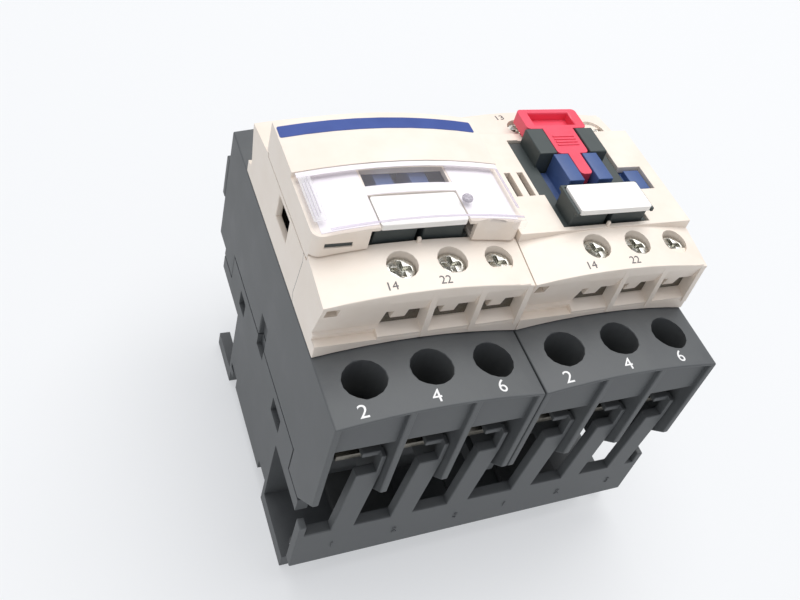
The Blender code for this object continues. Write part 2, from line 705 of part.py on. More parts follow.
def power_terminal(side):
    """A fixed contact bar with its clamp plate and screw, on the line (1) or the load side (-1)."""
    tip_end = BRIDGE_LENGTH / 2
    profile = [
        (BAR_START, BAR_BOTTOM), (BAR_END, BAR_BOTTOM), (BAR_END, BAR_TOP), (tip_end, BAR_TOP),
        (tip_end, BAR_TIP_TOP), (tip_end - TIP_LENGTH, BAR_TIP_TOP), (tip_end - TIP_LENGTH, BAR_TOP),
        (BAR_START, BAR_TOP),
    ]
    body = prism([(side * y, z) for y, z in profile], "X", -BAR_WIDTH / 2, BAR_WIDTH / 2)
    middle = (0.0, side * TERMINAL_Y)
    clamp_y = side_span(side, TERMINAL_Y - CLAMP_HALF, TERMINAL_Y + CLAMP_HALF)
    head_top = CLAMP_TOP + TERMINAL_HEAD_HEIGHT
    add = [
        rod(middle, TERMINAL_SHANK, BAR_BOTTOM - TERMINAL_SHANK_BELOW, CLAMP_TOP),
        block((-CLAMP_HALF, CLAMP_HALF), clamp_y, (CLAMP_BOTTOM, CLAMP_TOP)),
        rod(middle, TERMINAL_HEAD, CLAMP_TOP - GAP, head_top),
    ]
    return shape("power_terminal", body, add, cross_recess(middle, TERMINAL_HEAD, head_top))


def band_cutter(x, y):
    """What sets the band over a pocket back from the ribs, up to a thin lip of the bowed roof."""
    xs = [x[0] + (x[1] - x[0]) * i / BAND_STEPS for i in range(BAND_STEPS + 1)]
    outline = [(place_x, HOUSING_TOP - BAND_LIP + bow(place_x)) for place_x in xs]
    outline += [(x[1], POCKET_TOP - LAP), (x[0], POCKET_TOP - LAP)]
    return prism(outline, "Y", *y)


def contact_housing():
    """The dark middle: contact chamber, six terminal pockets between ribs, and screw holes in its roof."""
    skirt = SHELF_TOP + GAP
    slab = SLAB_HALF + GAP
    outline = [
        (-HOUSING_HALF, skirt + LOAD_CHAMFER_Z), (-HOUSING_HALF, SKY), (HOUSING_HALF, SKY),
        (HOUSING_HALF, skirt + LINE_SKIRT_LIFT), (SHELF_HALF + GAP, skirt + LINE_SKIRT_LIFT),
        (SHELF_HALF + GAP, skirt), (slab, skirt), (slab, HOUSING_BOTTOM), (-slab, HOUSING_BOTTOM),
        (-slab, skirt), (LOAD_CHAMFER_Y - HOUSING_HALF, skirt),
    ]
    body = prism(outline, "X", -UNIT_HALF, UNIT_HALF)
    chamber_z = (HOUSING_BOTTOM - LAP, CEILING)
    shaft_x = STEM_WIDTH / 2 + RUNNING_GAP
    shaft_y = STEM_DEPTH / 2 + RUNNING_GAP
    cut = [
        above_bow(HOUSING_TOP, UNIT_HALF + LAP, (-HOUSING_HALF - LAP, HOUSING_HALF + LAP)),
        block((-CAVITY_HALF, CAVITY_HALF), (-CHAMBER_HALF, CHAMBER_HALF), chamber_z),
        block((-shaft_x, shaft_x), (-shaft_y, shaft_y), (CEILING - LAP, SKY)),
    ]
    inner = UNIT_HALF - HOUSING_WALL
    pockets = [
        (-inner, POLES[0] + RIB_LEFT),
        (POLES[0] + RIB_RIGHT, POLES[1] + RIB_LEFT),
        (POLES[1] + RIB_RIGHT, inner),
    ]
    slot_half = BAR_WIDTH / 2 + GAP
    slot_z = (BAR_BOTTOM - GAP, BAR_TIP_TOP + GAP)
    for side in (1, -1):
        pocket_y = side_span(side, POCKET_Y, HOUSING_HALF + LAP)
        lip_y = side_span(side, HOUSING_HALF - POCKET_LIP, HOUSING_HALF + LAP)
        band_y = side_span(side, HOUSING_HALF - BAND_RECESS, HOUSING_HALF + LAP)
        slot_y = side_span(side, CHAMBER_HALF - LAP, POCKET_Y + LAP)
        for pole, pocket in zip(POLES, pockets):
            cut += [
                block(pocket, pocket_y, (skirt - LAP, POCKET_ENTRY)),
                block(pocket, lip_y, (skirt - LAP, POCKET_TOP)),
                band_cutter(pocket, band_y),
                block((pole - slot_half, pole + slot_half), slot_y, slot_z),
                rod((pole, side * TERMINAL_Y), TERMINAL_HOLE, POCKET_ENTRY - LAP, SKY),
            ]
    for x in pair(UNIT_HALF - SNAP_DEPTH, UNIT_HALF + LAP):
        cut.append(block(x, SEAM_SNAP_SPAN, (HOUSING_BOTTOM - LAP, BASE_TOP + SEAM_SNAP_ABOVE)))
    return shape("contact_housing", body, cut=cut)


def control_head_top(side, x):
    """Where the top of a control screw lies."""
    return ledge_edge(side, CONTROL_Y[side]) + bow(x) - CONTROL_SINK


def control_cutters(side, x):
    """The screw hole of one control terminal, and the wire slot under it at the back of a channel."""
    middle = (x, side * CONTROL_Y[side])
    seat = control_head_top(side, x) - CONTROL_HEAD_HEIGHT - GAP
    slot_top = seat - WIRE_SLOT_ROOF
    slot_bottom = slot_top - WIRE_SLOT_HEIGHT
    shank_end = seat - CONTROL_SHANK_LENGTH
    face = LEDGE_END[side]
    tab_y = face - WIRE_TAB_DEPTH
    behind_y = side_span(side, face - WIRE_SLOT_DEPTH, tab_y)
    front_y = side_span(side, tab_y - LAP, face + LAP)
    slot_x = [x + edge for edge in WIRE_SLOT_SPAN]
    tab_x = [x + edge for edge in WIRE_TAB_SPAN]
    lip_top = FRONT_BOTTOM + LIP_HEIGHT
    channel_top = ledge_edge(side, face) + bow(x) - CHANNEL_DROP
    channel = [
        (face + LAP, lip_top), (face - FACE_FALL, lip_top), (face - CHANNEL_DEPTH, slot_bottom),
        (face, channel_top), (face + LAP, channel_top),
    ]
    fin = x + CONTROL_PITCH / 2 - FIN_THICKNESS / 2
    return [
        prism([(side * y, z) for y, z in channel], "X", slot_x[0], fin),
        rod(middle, CONTROL_HOLE, seat, SKY),
        rod(middle, CONTROL_SHANK + 2 * GAP, shank_end, seat + LAP),
        block(slot_x, behind_y, (slot_bottom, slot_top)),
        block(slot_x, front_y, (slot_bottom, slot_top - WIRE_TAB_DROP)),
        block((slot_x[0], tab_x[0]), front_y, (slot_bottom, slot_top)),
        block((tab_x[1], slot_x[1]), front_y, (slot_bottom, slot_top)),
    ]


def front_profile(side):
    """Half of the terminal front's section: a flush lip, a face that leans in above it, and a flat top."""
    face = LEDGE_END[side]
    lip_top = FRONT_BOTTOM + LIP_HEIGHT
    points = [
        (face, FRONT_BOTTOM - LAP), (face, lip_top), (face - FACE_FALL, lip_top),
        (face, lip_top + FACE_HEIGHT), (face, FRONT_TOP),
    ]
    return [(side * y, z) for y, z in points]


def terminal_front(name, covered):
    """The pale front: two falling ledges and a centre block that is open for the indicator.

    The centre block of the covered one stands back all round, for the cover's walls.
    """
    body = prism(front_profile(1) + front_profile(-1)[::-1], "X", -UNIT_HALF, UNIT_HALF)
    centre = COVERED_END if covered else CENTRE_END
    wide = UNIT_HALF + LAP
    whole_y = (-LEDGE_LOAD - LAP, LEDGE_LINE + LAP)
    chamber_half = UNIT_HALF - FRONT_WALL
    chamber_y = (FRONT_WALL - COVERED_END[-1], COVERED_END[1] - FRONT_WALL)
    shaft_half = COVERED_HALF - FRONT_WALL
    handle_half = GUIDE_HALF + 2 * GAP
    aperture_line = GUIDE_LINE + GAP
    aperture_load = HOLDER_LOAD - RUNNING_GAP
    wide_x = (-APERTURE_HALF, APERTURE_HALF)
    narrow_x = (-APERTURE_NARROW, APERTURE_NARROW)
    through = (BEAM_BOTTOM - LAP, SKY)
    cut = [
        below_bow(FRONT_BOTTOM, wide, whole_y, FRONT_BOTTOM - 2 * LAP),
        block((-chamber_half, chamber_half), chamber_y, (FRONT_BOTTOM - LAP, DECK_TOP - DECK)),
        block((-shaft_half, shaft_half), (SHAFT_LOAD, SHAFT_LINE), (DECK_TOP - DECK - LAP, BEAM_BOTTOM)),
        block(wide_x, (APERTURE_STEP, aperture_line), (DECK_TOP, SKY)),
        block(narrow_x, (aperture_load, APERTURE_STEP + LAP), (DECK_TOP, SKY)),
        block((-handle_half, handle_half), (GUIDE_LINE, CENTRE_LINE + LAP), (FLOOR_TOP, SKY)),
        block((APERTURE_HALF - LAP, FLAG_OUTER), (APERTURE_STEP, FLAG_LINE + GAP), through),
    ]
    for i in (0, 1):
        vent_x = VENT_EDGE + i * VENT_PITCH - UNIT_HALF
        cut.append(block((vent_x, vent_x + VENT_WIDTH), (APERTURE_STEP, VENT_LINE), through))
    window_y = (WINDOW_LOAD, WINDOW_LINE)
    for x in pair(chamber_half - LAP, wide):
        cut.append(block(x, window_y, (WINDOW_BOTTOM, WINDOW_TOP)))
    if covered:
        shoulder_y = (-centre[-1] - GAP, centre[1] + GAP)
        cut += [block(x, shoulder_y, (SHOULDER, SKY)) for x in pair(COVERED_HALF, wide)]
    for side in (1, -1):
        face = LEDGE_END[side]
        edge = ledge_edge(side, face)
        cut.append(above_ledge(side, centre[side]))
        for x in CONTROL_XS:
            cut += control_cutters(side, x)
        hole_x = (SIDE_HOLE_EDGE - UNIT_HALF, SIDE_HOLE_EDGE + SIDE_HOLE_SIZE - UNIT_HALF)
        hole_y = side_span(side, face - SIDE_HOLE_SIZE, face + LAP)
        hole_top = edge - SIDE_HOLE_DROP
        cut.append(block(hole_x, hole_y, (hole_top - SIDE_HOLE_SIZE, hole_top)))
    return shape(name, body, cut=cut)


def control_screw():
    """A cross-head terminal screw. Its own origin is the middle of its head's top."""
    body = rod((0, 0), CONTROL_HEAD, -CONTROL_HEAD_HEIGHT, 0)
    shank = rod((0, 0), CONTROL_SHANK, -CONTROL_HEAD_HEIGHT - CONTROL_SHANK_LENGTH, -GAP)
    return shape("control_screw", body, [shank], cross_recess((0, 0), CONTROL_HEAD, 0))


def indicator():
    """The blue plate on the carrier's head, with two jaws in the middle and a flag at the right."""
    plate_y = (INDICATOR_LOAD, INDICATOR_LINE)
    flag_end = FLAG_OUTER - RUNNING_GAP
    body = block((INDICATOR_LEFT, flag_end), plate_y, (DECK_TOP, PLATE_TOP))
    add = [block(x, plate_y, (DECK_TOP + LAP, JAW_TOP)) for x in pair(JAW_INNER, JAW_OUTER)]
    flag_y = (APERTURE_STEP + RUNNING_GAP, FLAG_LINE - GAP)
    add.append(block((FLAG_INNER, flag_end), flag_y, (DECK_TOP + LAP, PLATE_TOP + FLAG_HEIGHT)))
    return shape("indicator", body, add)


def guide_block():
    """The dark block over the indicator: two rails for the slide, a low frame and the legend holder."""
    guide_y = (GUIDE_LOAD, GUIDE_LINE)
    body = block((-GUIDE_HALF, GUIDE_HALF), guide_y, (GUIDE_BOTTOM, FLOOR_TOP))
    rail_z = (GUIDE_BOTTOM + LAP, GUIDE_TOP)
    add = [block(x, guide_y, rail_z) for x in pair(STEM_SLOT_HALF, GUIDE_HALF)]
    wide = APERTURE_HALF - GAP
    narrow = APERTURE_NARROW - GAP
    foot_z = (GUIDE_BOTTOM, FRAME_TOP)
    frame_z = (BEAM_BOTTOM, FRAME_TOP)
    add += [
        block((-wide, wide), (SHAFT_LINE + GAP, GUIDE_LINE), foot_z),
        block((-narrow, narrow), (HOLDER_LOAD, SHAFT_LOAD - GAP), foot_z),
        block((-HOLDER_HALF, HOLDER_HALF), (HOLDER_LOAD, HOLDER_LINE), (GUIDE_BOTTOM, HOLDER_TOP)),
    ]
    add += [block(x, (APERTURE_STEP + GAP, GUIDE_LINE - LAP), frame_z) for x in pair(FRAME_INNER, wide)]
    add += [block(x, (HOLDER_LINE - LAP, GUIDE_LOAD), frame_z) for x in pair(FRAME_INNER, narrow)]
    split_y = (HOLDER_LOAD - LAP, HOLDER_LOAD + HOLDER_SPLIT_DEPTH)
    split = block((-HOLDER_SPLIT / 2, HOLDER_SPLIT / 2), split_y, (GUIDE_BOTTOM - LAP, HOLDER_TOP + LAP))
    return shape("guide_block", body, add, [split])


def legend_plate():
    plate_z = (LEGEND_BOTTOM, LEGEND_TOP)
    return shape("legend_plate", block((-LEGEND_HALF, LEGEND_HALF), (LEGEND_LOAD, LEGEND_LINE), plate_z))


def lock_slide():
    """The red slide: a finger handle, a stem between the rails and a tongue between the jaws."""
    slide_z = (SLIDE_BOTTOM, SLIDE_TOP)
    handle_y = (GUIDE_LINE + GAP, GUIDE_LINE + GAP + HANDLE_LENGTH)
    body = block((-HANDLE_HALF, HANDLE_HALF), handle_y, slide_z)
    stem_half = STEM_SLOT_HALF - GAP
    tongue_half = JAW_INNER - GAP
    add = [
        block((-stem_half, stem_half), (GUIDE_LOAD, handle_y[0] + LAP), slide_z),
        block((-tongue_half, tongue_half), (TONGUE_TIP, GUIDE_LOAD + LAP), slide_z),
    ]
    pocket_half = HANDLE_HALF - POCKET_RIM
    pocket_y = (handle_y[0] + POCKET_END_RIM, handle_y[1] - POCKET_END_RIM)
    pocket = block((-pocket_half, pocket_half), pocket_y, (SLIDE_TOP - POCKET_DEPTH, SLIDE_TOP + LAP))
    return shape("lock_slide", body, add, [pocket])


def front_cover():
    """The pale cap over the left contactor's centre block, recessed for the clear flap."""
    outline = bow_line(COVER_EDGE, UNIT_HALF) + [(UNIT_HALF, SHOULDER + GAP), (-UNIT_HALF, SHOULDER + GAP)]
    body = prism(outline, "Y", -CENTRE_LOAD, CENTRE_LINE)
    wide = UNIT_HALF + LAP
    inner_half = UNIT_HALF - COVER_WALL
    inner_y = (COVER_WALL - CENTRE_LOAD, CENTRE_LINE - COVER_WALL)
    load_y = (-CENTRE_LOAD - LAP, -COVERED_END[-1])
    line_y = (COVERED_END[1], CENTRE_LINE + LAP)
    load_edge = ledge_edge(-1, COVERED_END[-1]) + GAP
    line_edge = ledge_edge(1, COVERED_END[1]) + GAP
    legend_half = LEGEND_HALF + GAP
    under = SHOULDER - LAP
    tag_bottom = load_edge + BOW / 2 + TAG_SLOT_LIFT
    tag_y = (-CENTRE_LOAD - LAP, TAG_SLOT_DEPTH - CENTRE_LOAD)
    dimple_y = DIMPLE_DEPTH - CENTRE_LOAD - DIMPLE_RADIUS
    cut = [
        below_bow(COVER_UNDER, inner_half, inner_y, under),
        block((-APERTURE_HALF, APERTURE_HALF), (inner_y[0], GUIDE_LINE + GAP), (under, COVER_CEILING)),
        below_bow(load_edge, wide, load_y, under),
        below_bow(line_edge, wide, line_y, under),
        above_bow(RECESS_EDGE, wide, (-CENTRE_LOAD - LAP, FLAP_LINE + GAP)),
        block((-SIGHT_HALF, SIGHT_HALF), (SIGHT_LOAD, FLAP_LINE - SIGHT_EDGE), (under, SKY)),
        block((-legend_half, legend_half), (-CENTRE_LOAD - LAP, LEGEND_LINE + GAP), (HOLDER_TOP, SKY)),
        block(FINGER_SLOT, load_y, (under, load_edge + BOW + FINGER_SLOT_HEIGHT)),
        block(TAG_SLOT, tag_y, (tag_bottom, tag_bottom + TAG_SLOT_HEIGHT)),
        ball((DIMPLE_X, dimple_y, RECESS_EDGE + bow(DIMPLE_X)), DIMPLE_RADIUS),
    ]
    cut += [corner_cutter(x, -CENTRE_LOAD, COVER_CORNER) for x in (-UNIT_HALF, UNIT_HALF)]
    return shape("front_cover", body, cut=cut)


def clear_flap():
    """The clear lid over the cover's recess, with a finger tab down the load wall at its right end."""
    body = bowed_slab(FLAP_HALF, (-CENTRE_LOAD, FLAP_LINE), COVER_EDGE - FLAP_THICKNESS, COVER_EDGE)
    tab_x = (FLAP_HALF - FLAP_TAB_WIDTH, FLAP_HALF)
    tab_top = COVER_EDGE + bow(FLAP_HALF)
    tab_root = RECESS_EDGE + bow(tab_x[0]) + GAP
    tab_outer = -CENTRE_LOAD - GAP - FLAP_TAB_REACH
    add = [
        block(tab_x, (tab_outer, LAP - CENTRE_LOAD), (tab_root, tab_top)),
        block(tab_x, (tab_outer, -CENTRE_LOAD - GAP), (tab_top - FLAP_TAB_DROP, tab_top)),
    ]
    return shape("clear_flap", body, add, [corner_cutter(-FLAP_HALF, -CENTRE_LOAD, COVER_CORNER)])


def pole_places():
    """The x of every pole of the pair."""
    return [unit + pole for unit in (-UNIT_PITCH / 2, UNIT_PITCH / 2) for pole in POLES]


def link_tip(x, y):
    """A bare copper end of a link, under the clamp plate of the pole at x."""
    middle = x + FINGER_MIDDLE
    tip_x = (middle - LINK_TIP_WIDTH / 2, middle + LINK_TIP_WIDTH / 2)
    return block(tip_x, y, (LINK_TIP_BOTTOM, LINK_TIP_TOP))


def load_link():
    """The moulded comb that joins the load terminals: a low strip with a leaning finger up to each pole.

    A thin blade at the right of each finger's top carries the copper end.
    """
    strip_top = LINK_STRIP_BOTTOM + LINK_STRIP_HEIGHT
    strip_y = (-LINK_OUTER, LINK_STRIP_THICKNESS - LINK_OUTER)
    body = block((-PAIR_HALF, PAIR_HALF), strip_y, (LINK_STRIP_BOTTOM, strip_top))
    finger_y = (-LINK_OUTER, FINGER_DEPTH - LINK_OUTER)
    foot = strip_top - LAP
    finger_top = LINK_TIP_BOTTOM - FINGER_DROP
    blade_z = (finger_top - LAP, LINK_TIP_TOP)
    cap_z = (LINK_STRIP_BOTTOM, strip_top + LINK_CAP_RISE)
    add = [block(x, strip_y, cap_z) for x in pair(PAIR_HALF - LINK_CAP_THICKNESS, PAIR_HALF)]
    for x in pole_places():
        left = x + FINGER_LEFT
        right = x + FINGER_RIGHT
        finger = [
            (left - FINGER_LEAN, foot), (right - FINGER_LEAN, foot), (right, finger_top), (left, finger_top),
        ]
        add += [
            prism(finger, "Y", *finger_y),
            block((right - BLADE_WIDTH, right), finger_y, blade_z),
            link_tip(x, (finger_y[1] - LAP, -LINK_TIP_END)),
        ]
    return shape("load_link", body, add)


def line_link():
    """The moulded strip across the line end, with a copper tongue into each terminal."""
    strip_y = (HOUSING_HALF + GAP, LINE_REACH)
    strip_bottom = LINK_TIP_BOTTOM - LINE_STRIP_DROP
    strip_z = (strip_bottom, strip_bottom + LINE_STRIP_HEIGHT)
    body = block((-PAIR_HALF, PAIR_HALF), strip_y, strip_z)
    add = [link_tip(x, (LINK_TIP_END, strip_y[0] + LAP)) for x in pole_places()]
    return shape("line_link", body, add)


def interlock_rocker():
    """The rocker between the contactors. Its own origin is on its pivot."""
    hub_y = (WINDOW_LOAD + GAP, WINDOW_LINE - GAP)
    arm_y = (hub_y[0] + ROCKER_EDGE, hub_y[1] - ROCKER_EDGE)
    body = rod((0, 0), 2 * HUB_RADIUS, *hub_y, axis="Y")
    arm_z = (-ROCKER_THICKNESS / 2, ROCKER_THICKNESS / 2)
    arms = block((-ROCKER_LEFT_ARM, ROCKER_RIGHT_ARM), arm_y, arm_z)
    return shape("interlock_rocker", body, [arms])


def contactor_pieces():
    """The pieces that each contactor has once: name, mesh or curve, and finish."""
    return [
        ("base", base(), "dark_housing"),
        ("rail_clip", rail_clip(), "bright_steel"),
        ("fixed_core", e_core("fixed_core", CORE_BOTTOM, CORE_YOKE, CORE_TOP), "laminated_steel"),
        ("coil", coil(), "coil_tape"),
        ("return_spring", return_spring(), "spring_steel"),
        ("moving_core", e_core("moving_core", MOVING_TOP, MOVING_YOKE, MOVING_BOTTOM), "laminated_steel"),
        ("contact_carrier", contact_carrier(), "dark_guide"),
        ("contact_housing", contact_housing(), "dark_housing"),
        ("indicator", indicator(), "blue_indicator"),
        ("guide_block", guide_block(), "dark_guide"),
        ("legend_plate", legend_plate(), "white_plate"),
    ]


def main():
    for obj in list(bpy.data.objects):
        bpy.data.objects.remove(obj)
    starter = empty("starter", None, (0, SHIFT_Y, 0))
    left = empty("left_contactor", starter, (-UNIT_PITCH / 2, 0, 0))
    right = empty("right_contactor", starter, (UNIT_PITCH / 2, 0, 0))
    units = (("left", left), ("right", right))

    for piece, data, finish_name in contactor_pieces():
        for unit, parent in units:
            place(f"{unit}_{piece}", data, finish_name, parent)

    bridge_mesh = bridge()
    screw_mesh = control_screw()
    terminal_meshes = {"line": power_terminal(1), "load": power_terminal(-1)}
    for unit, parent in units:
        for i, x in enumerate(POLES, 1):
            place(f"{unit}_bridge_{i}", bridge_mesh, "silver_copper", parent, (x, 0, 0))
            for side, mesh in terminal_meshes.items():
                place(f"{unit}_{side}_terminal_{i}", mesh, "bright_steel", parent, (x, 0, 0))
        for name, side in (("line", 1), ("load", -1)):
            for i, x in enumerate(CONTROL_XS, 1):
                at = (x, side * CONTROL_Y[side], control_head_top(side, x))
                place(f"{unit}_{name}_screw_{i}", screw_mesh, "bright_steel", parent, at)

    for unit, parent in units:
        name = f"{unit}_terminal_front"
        place(name, terminal_front(name, covered=unit == "left"), "cream_housing", parent)
    place("front_cover", front_cover(), "cream_housing", left)
    hinge = (0, FLAP_LINE, COVER_EDGE + BOW)
    place("clear_flap", about(clear_flap(), hinge), "clear_plastic", left, hinge)
    place("lock_slide", lock_slide(), "red_slide", right)
    place("load_link", load_link(), "dark_housing", starter)
    place("line_link", line_link(), "dark_housing", starter)
    place("interlock_rocker", interlock_rocker(), "dark_guide", starter, (0, 0, PIVOT_Z))


main()
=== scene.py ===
"""The looks of a reversing pair of contactors: finishes, softened edges, markings, light and camera.

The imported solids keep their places. X runs across the pair, +Y is the line side, -Y the load side, and
+Z points out of the panel. Lengths are in metres, and sizes written in millimetres are times MM.
"""

import json
import math

import bmesh
import bpy
from mathutils import Matrix, Vector
from mathutils.bvhtree import BVHTree


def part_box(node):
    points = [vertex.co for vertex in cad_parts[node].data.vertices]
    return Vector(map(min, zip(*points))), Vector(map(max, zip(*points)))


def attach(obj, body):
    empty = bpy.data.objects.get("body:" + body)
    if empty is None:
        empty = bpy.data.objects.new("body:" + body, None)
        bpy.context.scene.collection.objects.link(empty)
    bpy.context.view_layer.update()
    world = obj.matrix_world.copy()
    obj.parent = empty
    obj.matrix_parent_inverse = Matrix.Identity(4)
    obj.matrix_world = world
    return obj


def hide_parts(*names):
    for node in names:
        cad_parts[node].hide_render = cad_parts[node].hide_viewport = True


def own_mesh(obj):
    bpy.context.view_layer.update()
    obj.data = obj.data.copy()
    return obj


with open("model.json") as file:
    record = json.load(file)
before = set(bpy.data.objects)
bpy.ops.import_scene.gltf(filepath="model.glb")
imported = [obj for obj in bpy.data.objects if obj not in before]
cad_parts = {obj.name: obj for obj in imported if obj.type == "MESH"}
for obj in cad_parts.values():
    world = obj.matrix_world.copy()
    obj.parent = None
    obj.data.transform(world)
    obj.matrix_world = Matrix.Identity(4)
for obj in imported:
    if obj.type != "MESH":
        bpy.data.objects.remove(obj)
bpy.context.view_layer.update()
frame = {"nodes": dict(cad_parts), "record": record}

MM = 0.001
UNITS = ("left", "right")
NODES = frame["nodes"]
SLOTS = {row["node"]: row["material_slot"] for row in frame["record"]["subparts"]}

# Edge rounding of the mouldings. An edge is rounded where no edge that it meets is too short for it.
CASINGS = {
    "left_contact_housing": 0.45 * MM,
    "right_contact_housing": 0.45 * MM,
    "left_terminal_front": 0.4 * MM,
    "right_terminal_front": 0.4 * MM,
    "front_cover": 0.4 * MM,
    "left_base": 0.35 * MM,
    "right_base": 0.35 * MM,
    "load_link": 0.3 * MM,
    "line_link": 0.3 * MM,
    "lock_slide": 0.35 * MM,
    "left_legend_plate": 0.25 * MM,
    "right_legend_plate": 0.25 * MM,
    "left_guide_block": 0.3 * MM,
    "right_guide_block": 0.3 * MM,
}
# Small mouldings whose upright corners are rounder than their other edges
ROUND_CORNERS = {"lock_slide": 1.1 * MM, "left_legend_plate": 0.6 * MM, "right_legend_plate": 0.6 * MM}
CORNER_SEGMENTS = 5
UPRIGHT = 0.99
# The moulding that doesn't ride on the enclosure, with its body
CARRIED_BY = {"lock_slide": "lock"}
EDGE_SEGMENTS = 3
FINE_EDGE = 0.12 * MM
FINE_SEGMENTS = 2
SHORTEST_SHARE = 2.2
SHARP_ANGLE = math.radians(40)
FLAT_ANGLE = math.radians(0.5)
WELD = 0.005 * MM

# Edge rounding of the other solids, by material slot
SMALL_EDGE = 0.2 * MM
METAL_EDGE = 0.12 * MM
EDGES = {"bright_steel": METAL_EDGE, "silver_copper": METAL_EDGE}

# Ledge walls of the terminal fronts. Depths are measured in from the lip's face, levels down from the
# top of the middle control screw, and places along X from each control screw.
SIDES = {"load": -1, "line": 1}
WALL_TOP = 2.1 * MM
WALL_FOOT = 11.0 * MM
WALL_FALL = 2.5 * MM
WALL_BACK = 5.5 * MM
LIP_TOP = 11.9 * MM
CHANNEL_TOP = 0.9 * MM
CHANNEL_SPAN = (-4.5 * MM, 5.0 * MM)
WIRE_SLOT_SPAN = (-3.5 * MM, 4.7 * MM)
WIRE_SLOT_TOP = 5.9 * MM
WIRE_SLOT_DEPTH = 5.8 * MM
TAB_SPAN = (-2.0 * MM, 1.2 * MM)
TAB_FOOT = 8.7 * MM
FIN_SPAN = (4.7 * MM, 6.0 * MM)
FIN_FOOT = 13.2 * MM
FIN_PROUD = 0.3 * MM
CLAMP_DEPTHS = (2.8 * MM, 3.6 * MM)
CLAMP_GAP = 0.05 * MM
# How far a cutter reaches past what it cuts
PAST = 1.0 * MM
# The blind hole near the left end of each ledge, along X from that end
BLIND_HOLE_SPAN = (0.85 * MM, 3.45 * MM)
BLIND_HOLE_LEVELS = (5.0 * MM, 2.4 * MM)
BLIND_HOLE_DEPTH = 6.0 * MM

# The bow of the tops, and how a facet of one is known: by its width, its slope and how level it is
BOW = 2.05 * MM
HALF_WIDTH = 22.35 * MM
BOW_FACET = 7.0 * MM
BOW_SLACK = 0.02
UPWARD = 0.9
# A corner of a larger face may not lean further than this from the face
LARGE_FACE = 1.0 * MM ** 2
MOST_LEAN = math.radians(12)

# Printed figures: the text, and the middle of it in millimetres from the middle of its contactor
PRINT_THICKNESS = 0.1 * MM
PRINT_SINK = 0.04 * MM
# How much of a font's size its figures take up
FIGURE_SHARE = 0.72
FIGURE_CURVE_STEPS = 4
FIGURE_WELD = 0.001 * MM
POWER_HEIGHT = 3.1 * MM
POWER_FIGURES = (
    ("2", -16.4, -40.1), ("4", -1.6, -40.0), ("6", 13.0, -39.8),
    ("1", -16.4, 40.1), ("3", -1.6, 40.0), ("5", 13.0, 39.8),
)
CONTROL_HEIGHT = 1.9 * MM
CONTROL_FIGURES = (
    ("14", -8.7, -23.8), ("22", 2.4, -23.8), ("13", -8.7, 26.2), ("21", 2.4, 26.2),
)

# Moulded figures on the face of the load link: the text, and its middle along X in millimetres
LINK_HEIGHT = 2.0 * MM
LINK_LEVEL = 14.4 * MM
LINK_RELIEF = 0.25 * MM
LINK_FIGURES = (("1", -36.1), ("2", -21.1), ("3", -5.5), ("1", 7.6), ("2", 22.9), ("3", 38.1))

# Plates that lie on a bowed top: their steps along it, and the steps of a round corner
PLATE_STEPS = 24
CORNER_STEPS = 4
# A level above the whole object, from which a top is looked for
SKY = 0.2

# Pieces of the cover and its lid, as spans along X and Y in millimetres from the middle of the contactor
BLUE_STRIP = ((-22.0, 21.3), (12.0, 15.4))
STRIP_CORNER = 0.4 * MM
CARDS = {
    "left": ((-20.7, -9.6), (-14.2, 1.4)),
    "middle": ((-9.6, 9.6), (-6.1, -3.7)),
    "right": ((9.6, 20.9), (-14.2, 1.4)),
}
CARD_THICKNESS = 0.12 * MM
END_FILM = ((-21.7, -19.3), (-12.2, 1.0))
FILM_CORNER = 0.3 * MM
FILM_STEPS = 6
# Lines of the film: where each starts along X, and how the ends of each step in from the one before
END_LINES = (-21.2, -20.6, -20.0)
END_LINE_WIDTH = 0.18
END_LINE_THICKNESS = 0.15 * MM
END_LINE_STEPS = (0.7 * MM, 0.9 * MM)
LID_FRONT = ((-19.3, 21.8), (-14.9, -14.4))
LID_RIGHT = ((21.2, 21.8), (-12.0, 0.0))
LID_HINGE = ((-21.8, 21.8), (0.05, 1.4))
BAND_THICKNESS = 0.06 * MM
# The rivet's middle, and its section as radius and rise in millimetres
RIVET = (10.3, -9.9)
RIVET_PROFILE = ((1.15, -0.1), (1.15, 0.25), (1.0, 0.5), (0.75, 0.6), (0.5, 0.52), (0.3, 0.36), (0.12, 0.3))
RIVET_SIDES = 24
# A dark card at the back of the tag slot, as painted shade of the slot's dark inside: its span along X, its
# levels, and its depths in from the cover's face
TAG_SPAN = (-19.95, -14.45)
TAG_LEVELS = (83.22, 84.32)
TAG_DEPTHS = (0.3, 0.58)

# Pieces of the right contactor's holder and slide, in the same way
RIM_GAP = 0.1 * MM
RIM_WIDTH = 0.7 * MM
RIM_SINK = 0.3 * MM
RIM_RISE = 0.7 * MM
STEM_RIBS = (8.6, 9.6, 10.6, 11.6)
STEM_RIB_HALF = 2.9
STEM_RIB_WIDTH = 0.45
STEM_RIB_HEIGHT = 0.22 * MM
STEM_RIB_EDGE = 0.1 * MM

# The peg before each legend holder
PEG = ((-0.8, 0.0), (-14.8, -14.1))
PEG_HEIGHT = 1.2 * MM
PEG_EDGE = 0.2 * MM
# Pegs and ribs are short, so they follow the bow in few steps
SHORT_STEPS = 2

# The dark sheet in the joint between the contactors, painted shade where they meet, as places along Y and Z
# in millimetres
JOINT_HALF = 0.1 * MM
JOINT_OUTLINE = ((-17.0, 1.0), (17.0, 1.0), (17.0, 26.0), (27.0, 26.0), (27.0, 38.0), (41.0, 38.0),
                 (41.0, 63.0), (-41.0, 63.0), (-41.0, 40.0), (-27.0, 40.0), (-27.0, 26.0), (-17.0, 26.0))
# The fine parting line down the left contactor's side, drawn in grey as painted shade along the parting, in
# the same way
PARTING_LINE = ((-11.8, 79.0), (-12.3, 77.2), (-10.8, 66.9), (-11.4, 64.6))
PARTING_HALF = 0.07 * MM
PARTING_SINK = 0.1 * MM
PARTING_PROUD = 0.005 * MM

